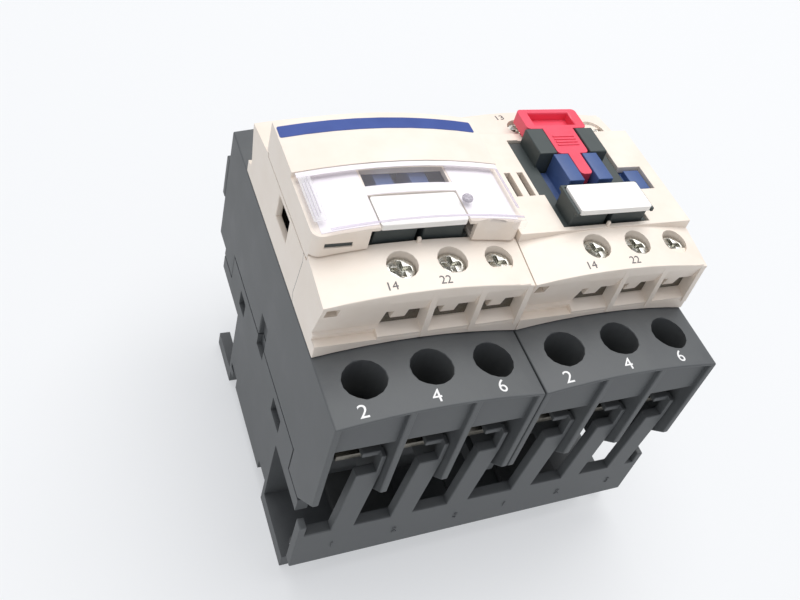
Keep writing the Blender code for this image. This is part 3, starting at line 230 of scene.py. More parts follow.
# The photograph's camera
CAMERA_PLACE = Vector((-95.98, -130.05, 205.35)) * MM
CAMERA_RIGHT = Vector((0.88453, -0.37320, 0.27988))
CAMERA_DOWN = Vector((-0.08653, -0.72082, -0.68770))
CAMERA_AHEAD = Vector((0.45839, 0.58407, -0.66988))
IMAGE_WIDTH = 800
IMAGE_HEIGHT = 600
FOCAL_PIXELS = 931.774
CENTRE_PIXEL = (482.07, 263.42)
SENSOR_MM = 36.0
NEAREST = 0.01

# Floor and light: each soft box has a place, a size, a power in watts and a colour
FLOOR_HALF = 3.0
FLOOR_DROP = 0.2 * MM
FLOOR_COLOUR = "a6a7a7"
FLOOR_ROUGHNESS = 0.7
FLOOR_LIGHT = "fafcff"
FLOOR_GLOW = 0.49
SURROUND_COLOUR = "f7f8ff"
SURROUND_STRENGTH = 0.44
SOFT_BOXES = {
    "overhead": ((0.2, 0.3, 1.5), 1.4, 20.5, "ffffff"),
    "key": ((0.4, 0.3, 0.75), 0.6, 0.8, "fffaf4"),
    "fill": ((-0.6, -0.6, 0.45), 0.6, 0.75, "ffffff"),
}
LIGHT_AIM = Vector((0, 0, 0.04))


def srgb(code):
    """A hex colour as linear red, green, blue and alpha."""
    channels = []
    for i in (0, 2, 4):
        value = int(code[i:i + 2], 16) / 255
        channels.append(value / 12.92 if value <= 0.04045 else ((value + 0.055) / 1.055) ** 2.4)
    return (*channels, 1.0)


def per_metre(size_mm):
    """The texture scale whose pattern repeats about once in this many millimetres."""
    return 1 / (size_mm * MM)


def add(material, kind, inputs=(), **settings):
    """Adds a node with its settings. Inputs are values, or output sockets to link."""
    node = material.node_tree.nodes.new(kind)
    for name, value in settings.items():
        setattr(node, name, value)
    for name, value in dict(inputs).items():
        if isinstance(value, bpy.types.NodeSocket):
            material.node_tree.links.new(value, node.inputs[name])
        else:
            node.inputs[name].default_value = value
    return node


def start(name, colour, roughness, metallic=0.0, ior=1.5):
    """A material with its shader, and the surface coordinates that its patterns use."""
    material = bpy.data.materials.new(name)
    material.use_nodes = True
    shader = material.node_tree.nodes["Principled BSDF"]
    shader.inputs["Base Color"].default_value = srgb(colour)
    shader.inputs["Roughness"].default_value = roughness
    shader.inputs["Metallic"].default_value = metallic
    if not metallic:
        shader.inputs["IOR"].default_value = ior
    place = add(material, "ShaderNodeTexCoord").outputs["Object"]
    return material, shader, place


def link(material, output, shader, name):
    """Feeds an input of the shader from a node's output."""
    material.node_tree.links.new(output, shader.inputs[name])


def noise(material, place, size_mm, detail, roughness):
    """A noise pattern whose features are about this many millimetres across."""
    inputs = {"Vector": place, "Scale": per_metre(size_mm), "Detail": detail, "Roughness": roughness}
    return add(material, "ShaderNodeTexNoise", inputs).outputs["Fac"]


def drift_colour(material, shader, pattern, colours, stops):
    """Lets the colour drift between two as a pattern passes from one stop to the other."""
    ramp = add(material, "ShaderNodeValToRGB", {"Fac": pattern})
    for stop, colour, position in zip(ramp.color_ramp.elements, colours, stops):
        stop.color = srgb(colour)
        stop.position = position
    link(material, ramp.outputs["Color"], shader, "Base Color")


def drift_gloss(material, shader, pattern, roughness, stops):
    """Lets the roughness drift between two values in the same way."""
    gloss = add(material, "ShaderNodeMapRange",
                {"Value": pattern, "From Min": stops[0], "From Max": stops[1],
                 "To Min": roughness[0], "To Max": roughness[1]})
    link(material, gloss.outputs["Result"], shader, "Roughness")


def raise_pattern(material, shader, pattern, height_mm, strength):
    """Raises the surface by a pattern."""
    bump = add(material, "ShaderNodeBump",
               {"Height": pattern, "Distance": height_mm * MM, "Strength": strength})
    link(material, bump.outputs["Normal"], shader, "Normal")


def moulded(name, colours, roughness, grain_mm, grain_height_mm, cloud_mm=9.0):
    """A moulded plastic: a spark-eroded grain, and a slow drift of colour and gloss over each face."""
    material, shader, place = start(name, colours[0], roughness[0])
    cloud = noise(material, place, cloud_mm, 3.0, 0.6)
    drift_colour(material, shader, cloud, colours, (0.32, 0.68))
    drift_gloss(material, shader, cloud, roughness, (0.3, 0.7))
    raise_pattern(material, shader, noise(material, place, grain_mm, 2.0, 0.5), grain_height_mm, 0.6)
    return material


def plated(name, colours, roughness, scratch_mm=0.5, scratch_height_mm=0.004):
    """A plated metal: bright, with fine marks from tumbling in the barrel."""
    material, shader, place = start(name, colours[0], roughness[0], metallic=1.0)
    marks = noise(material, place, scratch_mm, 4.0, 0.7)
    drift_colour(material, shader, marks, colours, (0.35, 0.65))
    drift_gloss(material, shader, marks, roughness, (0.3, 0.7))
    raise_pattern(material, shader, marks, scratch_height_mm, 0.4)
    return material


def clear_polycarbonate(name, colour, alpha, roughness, haze_mm=6.0):
    """Clear moulded polycarbonate: thin and glossy, a little duller where it has been handled."""
    material, shader, place = start(name, colour, roughness[0], ior=1.58)
    haze = noise(material, place, haze_mm, 4.0, 0.6)
    drift_gloss(material, shader, haze, roughness, (0.35, 0.7))
    shader.inputs["Alpha"].default_value = alpha
    return material


FINISHES = {
    # Glass-filled nylon, moulded in a spark-eroded tool: dark grey, dull, finely grained
    "dark_housing": moulded("glass_filled_nylon", ("535658", "5c5f60"), (0.5, 0.62), 0.5, 0.02),
    # Cream polyester, moulded with a finer grain: satin, a little warm where light sinks in
    "cream_housing": moulded("cream_polyester", ("efe3d5", "f4eade"), (0.38, 0.48), 0.4, 0.008),
    # Clear polycarbonate from a polished tool: sharp reflections and a faint lilac cast
    "clear_plastic": clear_polycarbonate("clear_polycarbonate", "f3eff8", 0.06, (0.05, 0.12)),
    # White acetal plate, smooth
    "white_plate": moulded("white_acetal", ("f7f5f0", "fbfaf6"), (0.3, 0.4), 0.4, 0.004),
    # Red acetal, satin
    "red_slide": moulded("red_acetal", ("ea4a61", "f0526a"), (0.35, 0.45), 0.4, 0.006),
    # Blue acetal, satin
    "blue_indicator": moulded("blue_acetal", ("40588b", "4a6499"), (0.42, 0.52), 0.4, 0.008),
    # Dark nylon of the inner block, a little greener than the casing; it also paints the shade at the back
    # of the tag slot and in the joint between the contactors
    "dark_guide": moulded("dark_nylon_and_painted_shade", ("3d4545", "474f4e"), (0.5, 0.6), 0.5, 0.012),
    # Steel with bright zinc plate, from the barrel
    "bright_steel": plated("zinc_plated_steel", ("c4c3bb", "dcdcd6"), (0.2, 0.32), 0.5, 0.001),
    # Copper alloy contact bar, dulled by handling
    "silver_copper": plated("contact_copper", ("a9764f", "c29068"), (0.25, 0.42)),
    # Stacked sheet steel
    "laminated_steel": plated("sheet_steel", ("7d7f80", "979a9b"), (0.35, 0.5)),
    # Polyester tape over the winding
    "coil_tape": moulded("winding_tape", ("5f4530", "6e5038"), (0.5, 0.62), 0.6, 0.02),
    # Drawn spring wire, bright and smooth
    "spring_steel": plated("spring_wire", ("9b9d9f", "b4b6b7"), (0.22, 0.35)),
}
# Nickel-plated steel of the deep terminals and wire-slot clamps: duller, and darker in colour as painted
# shade of their deep pockets and slots
SHADE_DARKENED_NICKEL = plated("shade_darkened_nickel", ("6d6a62", "85827a"), (0.34, 0.5))
# Spring steel of the rail clips under a baked-on phosphate coat: dark grey, fine-grained and dull
PHOSPHATED_STEEL = moulded("phosphated_steel", ("454747", "515353"), (0.6, 0.72), 0.4, 0.01)
# Pad-printed ink: flat, thin, a little uneven
WHITE_INK = moulded("white_ink", ("e3e4e4", "f4f4f3"), (0.55, 0.65), 0.3, 0.004, 1.5)
# The grey ink also paints the shade along the left contactor's parting line
GREY_INK_AND_SHADE = moulded("grey_ink", ("5a5658", "6c686a"), (0.55, 0.65), 0.3, 0.004, 1.5)
# Printed foil strip: even blue under a satin lacquer
BLUE_FOIL = moulded("blue_foil", ("2c4790", "34509a"), (0.34, 0.42), 0.6, 0.003)
# White card under the clear lid: coated, nearly smooth, a little cool
WHITE_CARD = moulded("coated_card", ("f3eef3", "f8f4f7"), (0.55, 0.65), 0.3, 0.003)
# Clear edges and rivet of the lid, seen through their length: pale lilac
LILAC_EDGE = clear_polycarbonate("edge_on_polycarbonate", "dcd3e2", 0.55, (0.1, 0.18))
SMOKED_EDGE = clear_polycarbonate("domed_polycarbonate", "a9a3ae", 0.55, (0.04, 0.1))
# Frosted film on the clear lid
FROSTED_FILM = clear_polycarbonate("frosted_film", "f6f4f6", 0.35, (0.4, 0.5))
# Fine grey lines printed on the film
LINE_INK = moulded("pale_grey_ink", ("cfc9d2", "dad5dc"), (0.5, 0.6), 0.3, 0.003, 1.5)


def soften(obj, width):
    """Joins the split corners of a solid, merges its flat faces and rounds its sharp edges."""
    weld = obj.modifiers.new("weld", "WELD")
    weld.merge_threshold = WELD
    flat = obj.modifiers.new("flat", "DECIMATE")
    flat.decimate_type = "DISSOLVE"
    flat.angle_limit = FLAT_ANGLE
    edge = obj.modifiers.new("edge", "BEVEL")
    edge.width = width
    edge.segments = FINE_SEGMENTS
    edge.limit_method = "ANGLE"
    edge.angle_limit = SHARP_ANGLE
    edge.use_clamp_overlap = False
    edge.harden_normals = True
    edge.miter_outer = "MITER_ARC"


def round_edges(bm, width, segments):
    """Rounds the outer edges that are long enough, and leaves those around small mouths sharp."""
    least = SHORTEST_SHARE * width
    edges = []
    for edge in bm.edges:
        if not edge.is_manifold or not edge.is_convex or edge.calc_face_angle() < SHARP_ANGLE:
            continue
        nearby = {other for vert in edge.verts for other in vert.link_edges}
        if all(other.calc_length() > least for other in nearby):
            edges.append(edge)
    bmesh.ops.bevel(bm, geom=edges, offset=width, offset_type="OFFSET", segments=segments, profile=0.5,
                    affect="EDGES", clamp_overlap=True)


def round_corners(bm, radius):
    """Rounds the upright outer corners of a small moulding."""
    corners = []
    for edge in bm.edges:
        run = edge.verts[1].co - edge.verts[0].co
        upright = abs(run.z) > UPRIGHT * run.length
        if upright and edge.is_manifold and edge.is_convex and edge.calc_face_angle() > SHARP_ANGLE:
            corners.append(edge)
    bmesh.ops.bevel(bm, geom=corners, offset=radius, offset_type="OFFSET", segments=CORNER_SEGMENTS,
                    profile=0.5, affect="EDGES", clamp_overlap=True)


def prism(bm, outline, along, low, high):
    """Adds a prism along X, Y or Z to a mesh. Its outline is a list of places on the other two axes."""
    rings = []
    for end in (low, high):
        places = [{"X": (end, a, b), "Y": (a, end, b), "Z": (a, b, end)}[along] for a, b in outline]
        rings.append([bm.verts.new(place) for place in places])
    bm.faces.new(rings[0])
    bm.faces.new(rings[1])
    for k in range(len(outline)):
        bm.faces.new((rings[0][k - 1], rings[0][k], rings[1][k], rings[1][k - 1]))


def as_object(bm):
    """A passing object that holds a mesh with its faces turned outwards."""
    bmesh.ops.recalc_face_normals(bm, faces=bm.faces)
    mesh = bpy.data.meshes.new("passing")
    bm.to_mesh(mesh)
    bm.free()
    obj = bpy.data.objects.new("passing", mesh)
    bpy.context.scene.collection.objects.link(obj)
    return obj


def reshaped(bm, steps):
    """The mesh after each step's solids have been joined to it or cut from it."""
    body = as_object(bm)
    tools = []
    for operation, solids in steps:
        tools.append(as_object(solids))
        change = body.modifiers.new("change", "BOOLEAN")
        change.operation = operation
        change.object = tools[-1]
    graph = bpy.context.evaluated_depsgraph_get()
    mesh = bpy.data.meshes.new_from_object(body.evaluated_get(graph))
    result = bmesh.new()
    result.from_mesh(mesh)
    for obj in (body, *tools):
        bpy.data.meshes.remove(obj.data)
    bpy.data.meshes.remove(mesh)
    return result


def control_row(unit, row):
    """Where a row of control terminals lies: the screws along X, the screw level and the lip's face."""
    boxes = [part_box(f"{unit}_{row}_screw_{i}") for i in (1, 2, 3)]
    places = [(low[0] + high[0]) / 2 for low, high in boxes]
    low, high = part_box(f"{unit}_terminal_front")
    return places, boxes[1][1][2], (low if SIDES[row] < 0 else high)[1]


def wire_slot(x, level, inset=0.0):
    """The outline of a wire slot: a bar with a leg up on each side of the tab."""
    left, right = x + WIRE_SLOT_SPAN[0] + inset, x + WIRE_SLOT_SPAN[1] - inset
    foot, top = level - WALL_FOOT + inset, level - WIRE_SLOT_TOP - inset
    tab = (x + TAB_SPAN[0] - inset, x + TAB_SPAN[1] + inset)
    tab_foot = level - TAB_FOOT - inset
    return [(left, foot), (right, foot), (right, top), (tab[1], top), (tab[1], tab_foot),
            (tab[0], tab_foot), (tab[0], top), (left, top)]


def wall_ledges(bm, unit):
    """Gives both ledges of a terminal front their leaning walls, with wire slots between the fins."""
    fills, fronts, fins, slots = (bmesh.new() for i in range(4))
    ends = [corner[0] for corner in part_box(f"{unit}_terminal_front")]
    for row, side in SIDES.items():
        places, level, face = control_row(unit, row)

        def section(*points):
            return [(face - side * depth, level - drop) for depth, drop in points]

        front = section((-PAST, LIP_TOP), (0, LIP_TOP), (WALL_FALL, WALL_FOOT), (0, WALL_TOP),
                        (-PAST, WALL_TOP))
        prism(fronts, front, "X", ends[0] - PAST, ends[1] + PAST)
        fill = section((CLAMP_GAP, FIN_FOOT), (CLAMP_GAP, CHANNEL_TOP), (WALL_BACK, CHANNEL_TOP),
                       (WALL_BACK, FIN_FOOT))
        fin = section((0, WALL_TOP), (-FIN_PROUD, FIN_FOOT), (WALL_BACK, FIN_FOOT), (PAST, WALL_TOP))
        for x in places:
            prism(fills, fill, "X", x + CHANNEL_SPAN[0], x + CHANNEL_SPAN[1])
            prism(fins, fin, "X", x + FIN_SPAN[0], x + FIN_SPAN[1])
            depths = (face + side * PAST, face - side * WIRE_SLOT_DEPTH)
            prism(slots, wire_slot(x, level), "Y", *depths)
        left, right = (ends[0] + place for place in BLIND_HOLE_SPAN)
        foot, top = (level - drop for drop in BLIND_HOLE_LEVELS)
        hole = [(left, foot), (right, foot), (right, top), (left, top)]
        prism(slots, hole, "Y", face + side * PAST, face - side * BLIND_HOLE_DEPTH)
    steps = (("UNION", fills), ("DIFFERENCE", fronts), ("UNION", fins), ("DIFFERENCE", slots))
    return reshaped(bm, steps)


def set_clamps():
    """The metal clamp that shows inside each wire slot, in the nickel darkened as painted shade."""
    for unit in UNITS:
        for row, side in SIDES.items():
            places, level, face = control_row(unit, row)
            depths = [face - side * depth for depth in CLAMP_DEPTHS]
            for i, x in enumerate(places, 1):
                name = f"{unit}_{row}_clamp_{i}"
                clamp = bmesh.new()
                prism(clamp, wire_slot(x, level, CLAMP_GAP), "Y", *depths)
                set_piece(name, clamp, SHADE_DARKENED_NICKEL, "enclosure", FINE_EDGE)


def weighted_normals(casing):
    """The corner normals that keep large faces flat and round the edges between them."""
    casing.data.shade_smooth()
    casing.data.set_sharp_from_angle(angle=SHARP_ANGLE)
    weighted = casing.modifiers.new("normals", "WEIGHTED_NORMAL")
    weighted.keep_sharp = True
    graph = bpy.context.evaluated_depsgraph_get()
    normals = [Vector(normal.vector) for normal in casing.evaluated_get(graph).data.corner_normals]
    casing.modifiers.remove(weighted)
    return normals


def bow_slope(x):
    """How steeply a bowed top falls, at x from the middle of its contactor."""
    return 2 * BOW * x / HALF_WIDTH ** 2


def is_bowed(mesh, face, centre):
    """Whether a face is a facet of a bowed top."""
    across = [mesh.vertices[i].co.x for i in face.vertices]
    if face.normal.z < UPWARD or max(across) - min(across) > BOW_FACET:
        return False
    slope = face.normal.x / face.normal.z
    return abs(slope - bow_slope(face.center.x - centre)) <= BOW_SLACK


def shade_casing(casing, centre):
    """Shades flat faces flat, rounded edges round, and the bowed tops as one smooth bow."""
    normals = weighted_normals(casing)
    mesh = casing.data
    for face in mesh.polygons:
        bowed = is_bowed(mesh, face, centre)
        for corner in face.loop_indices:
            if bowed:
                x = mesh.vertices[mesh.loops[corner].vertex_index].co.x
                fall = face.normal.y / face.normal.z
                normals[corner] = Vector((bow_slope(x - centre), fall, 1)).normalized()
            elif face.area > LARGE_FACE and normals[corner].angle(face.normal, 0.0) > MOST_LEAN:
                normals[corner] = face.normal.copy()
    mesh.normals_split_custom_set(normals)


def round_casings():
    """Stands a rounded casing in for each large moulding."""
    for node, width in CASINGS.items():
        bm = bmesh.new()
        bm.from_mesh(NODES[node].data)
        bmesh.ops.remove_doubles(bm, verts=bm.verts, dist=WELD)
        if node.endswith("terminal_front"):
            bm = wall_ledges(bm, node.split("_")[0])
        bmesh.ops.dissolve_limit(bm, angle_limit=FLAT_ANGLE, verts=bm.verts, edges=bm.edges)
        if node in ROUND_CORNERS:
            round_corners(bm, ROUND_CORNERS[node])
        round_edges(bm, width, EDGE_SEGMENTS)
        round_edges(bm, FINE_EDGE, FINE_SEGMENTS)
        slot = SLOTS[node]
        body = CARRIED_BY.get(node, "enclosure")
        casing = set_piece(f"{node}_casing", bm, FINISHES[slot], body)
        shade_casing(casing, middle("right" if node.startswith("right") else "left").x)
        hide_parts(node)


def dress_solids():
    """Gives every other solid its finish and its rounded edges."""
    for name, obj in NODES.items():
        if name in CASINGS:
            continue
        slot = SLOTS[name]
        finish = FINISHES[slot]
        # The terminals deep in their pockets take the nickel darkened as painted shade
        if "_terminal_" in name:
            finish = SHADE_DARKENED_NICKEL
        elif name.endswith("rail_clip"):
            finish = PHOSPHATED_STEEL
        obj.data.materials.clear()
        obj.data.materials.append(finish)
        for face in obj.data.polygons:
            face.use_smooth = True
        soften(obj, EDGES.get(slot, SMALL_EDGE))


def set_springs():
    """The return springs, as smooth-shaded wire."""
    for unit in UNITS:
        node, joint = f"{unit}_return_spring", f"{unit}_close"
        bm = bmesh.new()
        bm.from_mesh(NODES[node].data)
        bmesh.ops.remove_doubles(bm, verts=bm.verts, dist=WELD)
        spring = set_piece(f"{node}_wire", bm, FINISHES["spring_steel"], "enclosure")
        spring.data.shade_smooth()
        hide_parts(node)
        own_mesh(spring)


def middle(unit):
    """The middle of a contactor, in the plane of the panel."""
    low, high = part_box(f"{unit}_contact_housing")
    return (Vector(low) + Vector(high)) / 2


def surface(node):
    """The faces of a solid, for setting a piece down on them."""
    mesh = NODES[node].data
    return BVHTree.FromPolygons([v.co for v in mesh.vertices], [f.vertices for f in mesh.polygons])


def height_at(faces, x, y):
    """The level of the topmost face at x, y."""
    return faces.ray_cast(Vector((x, y, SKY)), Vector((0, 0, -1)))[0].z


def set_piece(name, bm, finish, body, edge=0.0):
    """Makes a piece of a mesh, which rides on a body."""
    bmesh.ops.recalc_face_normals(bm, faces=bm.faces)
    mesh = bpy.data.meshes.new(name)
    bm.to_mesh(mesh)
    bm.free()
    mesh.materials.append(finish)
    obj = bpy.data.objects.new(name, mesh)
    bpy.context.scene.collection.objects.link(obj)
    if edge:
        rounding = obj.modifiers.new("edge", "BEVEL")
        rounding.width = edge
        rounding.segments = EDGE_SEGMENTS
        rounding.limit_method = "ANGLE"
        mesh.shade_smooth()
        rounding.harden_normals = True
    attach(obj, body)
    return obj


def figure(text, height):
    """Plain figures as thin solids, upright along +Y and centred on zero."""
    curve = bpy.data.curves.new("figure", "FONT")
    curve.body = text
    curve.align_x = "CENTER"
    curve.align_y = "CENTER"
    curve.size = height / FIGURE_SHARE
    curve.resolution_u = FIGURE_CURVE_STEPS
    curve.extrude = PRINT_THICKNESS / 2
    holder = bpy.data.objects.new("figure", curve)
    bpy.context.scene.collection.objects.link(holder)
    graph = bpy.context.evaluated_depsgraph_get()
    mesh = bpy.data.meshes.new_from_object(holder.evaluated_get(graph))
    bm = bmesh.new()
    bm.from_mesh(mesh)
    bpy.data.objects.remove(holder)
    bpy.data.meshes.remove(mesh)
    bmesh.ops.remove_doubles(bm, verts=bm.verts, dist=FIGURE_WELD)
    return bm


def printed_figure(name, text, height, node, x, y, ink, slot):
    """Figures printed on the top of a solid, which follow its bow."""
    faces = surface(node)
    bm = figure(text, height)
    for vert in bm.verts:
        rise = vert.co.z + PRINT_THICKNESS / 2 - PRINT_SINK
        vert.co.x += x
        vert.co.y += y
        vert.co.z = height_at(faces, vert.co.x, vert.co.y) + rise
    set_piece(name, bm, ink, "enclosure")


def print_figures():
    """The numbers of the power and control terminals."""
    for unit in UNITS:
        centre = middle(unit)
        rows = (
            ("power", POWER_FIGURES, POWER_HEIGHT, "contact_housing", WHITE_INK, "white_plate"),
            ("control", CONTROL_FIGURES, CONTROL_HEIGHT, "terminal_front", GREY_INK_AND_SHADE, "dark_guide"),
        )
        for row, figures, height, node, ink, slot in rows:
            for text, x, y in figures:
                name = f"{unit}_{row}_figure_{text}"
                place = (centre.x + x * MM, centre.y + y * MM)
                printed_figure(name, text, height, f"{unit}_{node}", *place, ink, slot)


def mould_link_figures():
    """The figures that stand out of the load link's face, one under each finger."""
    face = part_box("load_link")[0][1]
    thicken = Matrix.Diagonal((1, 1, 2 * LINK_RELIEF / PRINT_THICKNESS, 1))
    stand = Matrix(((1, 0, 0), (0, 0, -1), (0, 1, 0))).to_4x4() @ thicken
    for i, (text, x) in enumerate(LINK_FIGURES, 1):
        bm = figure(text, LINK_HEIGHT)
        place = Matrix.Translation((x * MM, face, LINK_LEVEL))
        bmesh.ops.transform(bm, matrix=place @ stand, verts=bm.verts)
        set_piece(f"link_figure_{i}", bm, FINISHES["dark_housing"], "enclosure")


def draped_plate(faces, x, y, thickness, corner=0.0, steps=PLATE_STEPS):
    """A thin plate with round corners, which lies on the faces below it."""
    turns = [math.pi / 2 * i / CORNER_STEPS for i in range(CORNER_STEPS + 1)] if corner else [0.0]
    ends = [(corner * (1 - math.sin(turn)), corner * (1 - math.cos(turn))) for turn in turns]
    inner = (x[0] + ends[0][0], x[1] - ends[0][0])
    sections = [(x[0] + along, across) for along, across in ends[:0:-1]]
    sections += [(inner[0] + (inner[1] - inner[0]) * i / steps, 0.0) for i in range(steps + 1)]
    sections += [(x[1] - along, across) for along, across in ends[1:]]
    bm = bmesh.new()
    rings = []
    for place, inset in sections:
        corners = ((y[0] + inset, 1), (y[1] - inset, 1), (y[1] - inset, 0), (y[0] + inset, 0))
        ring = []
        for across, upper in corners:
            level = height_at(faces, place, across) + (thickness if upper else -PRINT_SINK)
            ring.append(bm.verts.new((place, across, level)))
        rings.append(ring)
    bm.faces.new(rings[0])
    bm.faces.new(rings[-1])
    for near, far in zip(rings, rings[1:]):
        for k in range(4):
            bm.faces.new((near[k - 1], near[k], far[k], far[k - 1]))
    return bm


def span(pair, origin):
    """A (low, high) pair in millimetres, as metres from an origin."""
    return origin + pair[0] * MM, origin + pair[1] * MM


def dress_cover():
    """The cards and the blue strip on the cover."""
    centre = middle("left")
    cover = surface("front_cover")
    for name, (x, y) in CARDS.items():
        card = draped_plate(cover, span(x, centre.x), span(y, centre.y), CARD_THICKNESS)
        set_piece(f"lid_card_{name}", card, WHITE_CARD, "enclosure")
    strip_x, strip_y = span(BLUE_STRIP[0], centre.x), span(BLUE_STRIP[1], centre.y)
    strip = draped_plate(cover, strip_x, strip_y, PRINT_THICKNESS, STRIP_CORNER)
    set_piece("blue_strip", strip, BLUE_FOIL, "enclosure")


def dress_lid():
    """The film on the clear lid with its fine lines, the rivet and the edges."""
    centre = middle("left")
    lid = surface("clear_flap")
    film_x, film_y = span(END_FILM[0], centre.x), span(END_FILM[1], centre.y)
    film = draped_plate(lid, film_x, film_y, PRINT_THICKNESS, FILM_CORNER, FILM_STEPS)
    set_piece("lid_film", film, FROSTED_FILM, "flap")
    for i, x in enumerate(END_LINES, 1):
        line_x = span((x, x + END_LINE_WIDTH), centre.x)
        later = len(END_LINES) + 1 - i
        line_y = (film_y[0] + i * END_LINE_STEPS[0], film_y[1] - later * END_LINE_STEPS[1])
        line = draped_plate(lid, line_x, line_y, END_LINE_THICKNESS, steps=1)
        set_piece(f"lid_film_line_{i}", line, LINE_INK, "flap")
    set_rivet(lid, centre.x + RIVET[0] * MM, centre.y + RIVET[1] * MM)
    edge_lid(lid)


def shade_tag_slot():
    """A dark card in the back of the tag slot in the cover's front, as painted shade inside the slot."""
    (left, right), (foot, top) = span(TAG_SPAN, middle("left").x), span(TAG_LEVELS, 0.0)
    outline = [(left, foot), (right, foot), (right, top), (left, top)]
    tag = bmesh.new()
    prism(tag, outline, "Y", *span(TAG_DEPTHS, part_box("front_cover")[0][1]))
    set_piece("tag_slot_painted_shade", tag, FINISHES["dark_guide"], "enclosure")


def edge_lid(faces):
    """The lilac edges of the lid, and the white band along its hinge."""
    centre = middle("left")
    bands = (
        ("lid_front_edge", LID_FRONT, LILAC_EDGE, "clear_plastic"),
        ("lid_right_edge", LID_RIGHT, LILAC_EDGE, "clear_plastic"),
        ("lid_hinge_band", LID_HINGE, WHITE_CARD, "white_plate"),
    )
    for name, (x, y), finish, slot in bands:
        band = draped_plate(faces, span(x, centre.x), span(y, centre.y), BAND_THICKNESS)
        set_piece(name, band, finish, "flap")


def set_rivet(faces, x, y):
    """The clear rivet of the lid: a low dome with a pressed middle."""
    level = height_at(faces, x, y)
    turns = [2 * math.pi * i / RIVET_SIDES for i in range(RIVET_SIDES)]
    bm = bmesh.new()
    rings = []
    for radius, rise in RIVET_PROFILE:
        rings.append([bm.verts.new((x + radius * MM * math.cos(turn), y + radius * MM * math.sin(turn),
                                    level + rise * MM)) for turn in turns])
    bm.faces.new(rings[0])
    bm.faces.new(rings[-1])
    for low, high in zip(rings, rings[1:]):
        for i in range(RIVET_SIDES):
            bm.faces.new((low[i - 1], low[i], high[i], high[i - 1]))
    rivet = set_piece("lid_rivet", bm, SMOKED_EDGE, "flap")
    rivet.data.shade_smooth()


def set_pegs():
    """The small peg that stands in front of each legend holder's split."""
    for unit in UNITS:
        centre = middle(unit)
        faces = surface(f"{unit}_terminal_front")
        peg_x, peg_y = span(PEG[0], centre.x), span(PEG[1], centre.y)
        peg = draped_plate(faces, peg_x, peg_y, PEG_HEIGHT, steps=SHORT_STEPS)
        set_piece(f"{unit}_peg", peg, FINISHES["cream_housing"], "enclosure", PEG_EDGE)


def rib_slide():
    """The grip ribs across the red slide's stem."""
    centre = middle("right")
    faces = surface("lock_slide")
    rib_x = span((-STEM_RIB_HALF, STEM_RIB_HALF), centre.x)
    for i, y in enumerate(STEM_RIBS, 1):
        rib_y = span((y, y + STEM_RIB_WIDTH), centre.y)
        rib = draped_plate(faces, rib_x, rib_y, STEM_RIB_HEIGHT, steps=SHORT_STEPS)
        set_piece(f"slide_rib_{i}", rib, FINISHES["red_slide"], "lock", STEM_RIB_EDGE)


def rim_legend():
    """The low dark rim of the legend holder, on three sides of the right contactor's plate."""
    low, high = (Vector(corner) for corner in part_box("right_legend_plate"))
    near = (low.x - RIM_GAP, high.x + RIM_GAP)
    far = (near[0] - RIM_WIDTH, near[1] + RIM_WIDTH)
    back = high.y + RIM_GAP
    outline = [(far[0], low.y), (near[0], low.y), (near[0], back), (near[1], back), (near[1], low.y),
               (far[1], low.y), (far[1], back + RIM_WIDTH), (far[0], back + RIM_WIDTH)]
    rim = bmesh.new()
    prism(rim, outline, "Z", low.z - RIM_SINK, low.z + RIM_RISE)
    set_piece("right_legend_rim", rim, FINISHES["dark_guide"], "enclosure", FINE_EDGE)


def shade_joint():
    """The thin dark sheet in the joint between the two contactors, as painted shade of the joint."""
    origin = middle("left").y
    outline = [(origin + y * MM, z * MM) for y, z in JOINT_OUTLINE]
    sheet = bmesh.new()
    prism(sheet, outline, "X", -JOINT_HALF, JOINT_HALF)
    set_piece("joint_shade_sheet", sheet, FINISHES["dark_guide"], "enclosure")


def draw_parting_shade():
    """The fine grey line where the left contactor's cream mouldings part: painted shade along the parting.
    """
    side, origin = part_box("left_terminal_front")[0][0], middle("left").y
    places = [(origin + y * MM, z * MM) for y, z in PARTING_LINE]
    outline = [(y - PARTING_HALF, z) for y, z in places]
    outline += [(y + PARTING_HALF, z) for y, z in places[::-1]]
    line = bmesh.new()
    prism(line, outline, "X", side - PARTING_PROUD, side + PARTING_SINK)
    set_piece("left_parting_shade_line", line, GREY_INK_AND_SHADE, "enclosure")


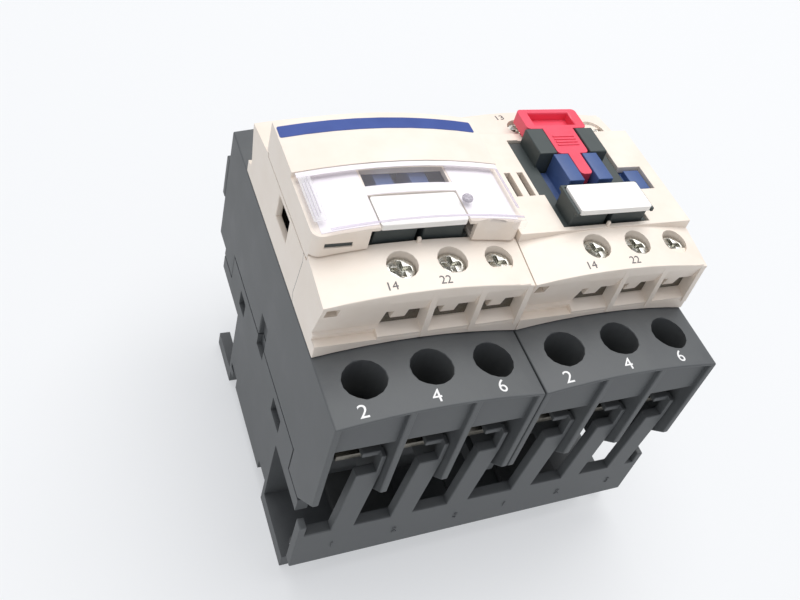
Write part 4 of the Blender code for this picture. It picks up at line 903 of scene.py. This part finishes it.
def build_camera():
    """The camera from which the photograph was taken."""
    data = bpy.data.cameras.new("photo_camera")
    data.sensor_width = SENSOR_MM
    data.lens = FOCAL_PIXELS / IMAGE_WIDTH * SENSOR_MM
    data.shift_x = (IMAGE_WIDTH / 2 - CENTRE_PIXEL[0]) / IMAGE_WIDTH
    data.shift_y = (CENTRE_PIXEL[1] - IMAGE_HEIGHT / 2) / IMAGE_WIDTH
    data.clip_start = NEAREST
    camera = bpy.data.objects.new("photo_camera", data)
    turn = Matrix((CAMERA_RIGHT, -CAMERA_DOWN, -CAMERA_AHEAD)).transposed().to_4x4()
    camera.matrix_world = Matrix.Translation(CAMERA_PLACE) @ turn
    bpy.context.scene.collection.objects.link(camera)
    bpy.context.scene.camera = camera


def area_light(name, place, size, power, colour):
    """A square soft box that faces the object."""
    data = bpy.data.lights.new(name, "AREA")
    data.size = size
    data.energy = power
    data.color = srgb(colour)[:3]
    light = bpy.data.objects.new(name, data)
    light.location = place
    light.rotation_euler = (LIGHT_AIM - Vector(place)).to_track_quat("-Z", "Y").to_euler()
    bpy.context.scene.collection.objects.link(light)


def build_stage():
    """A pale floor, a white surround and three soft boxes."""
    bm = bmesh.new()
    bmesh.ops.create_grid(bm, x_segments=1, y_segments=1, size=FLOOR_HALF)
    mesh = bpy.data.meshes.new("floor")
    bm.to_mesh(mesh)
    bm.free()
    floor = bpy.data.objects.new("floor", mesh)
    floor.location.z = -FLOOR_DROP
    bpy.context.scene.collection.objects.link(floor)
    # White acrylic sheet of a light table: even, nearly shadowless
    material, shader = start("lit_acrylic", FLOOR_COLOUR, FLOOR_ROUGHNESS)[:2]
    shader.inputs["Emission Color"].default_value = srgb(FLOOR_LIGHT)
    shader.inputs["Emission Strength"].default_value = FLOOR_GLOW
    mesh.materials.append(material)
    world = bpy.data.worlds.new("white_surround")
    world.use_nodes = True
    background = world.node_tree.nodes["Background"]
    background.inputs["Color"].default_value = srgb(SURROUND_COLOUR)
    background.inputs["Strength"].default_value = SURROUND_STRENGTH
    bpy.context.scene.world = world
    for name, settings in SOFT_BOXES.items():
        area_light(name, *settings)
    bpy.context.scene.view_settings.view_transform = "Standard"


round_casings()
dress_solids()
set_springs()
set_clamps()
print_figures()
mould_link_figures()
dress_cover()
dress_lid()
shade_tag_slot()
set_pegs()
rib_slide()
rim_legend()
shade_joint()
draw_parting_shade()
build_camera()
build_stage()
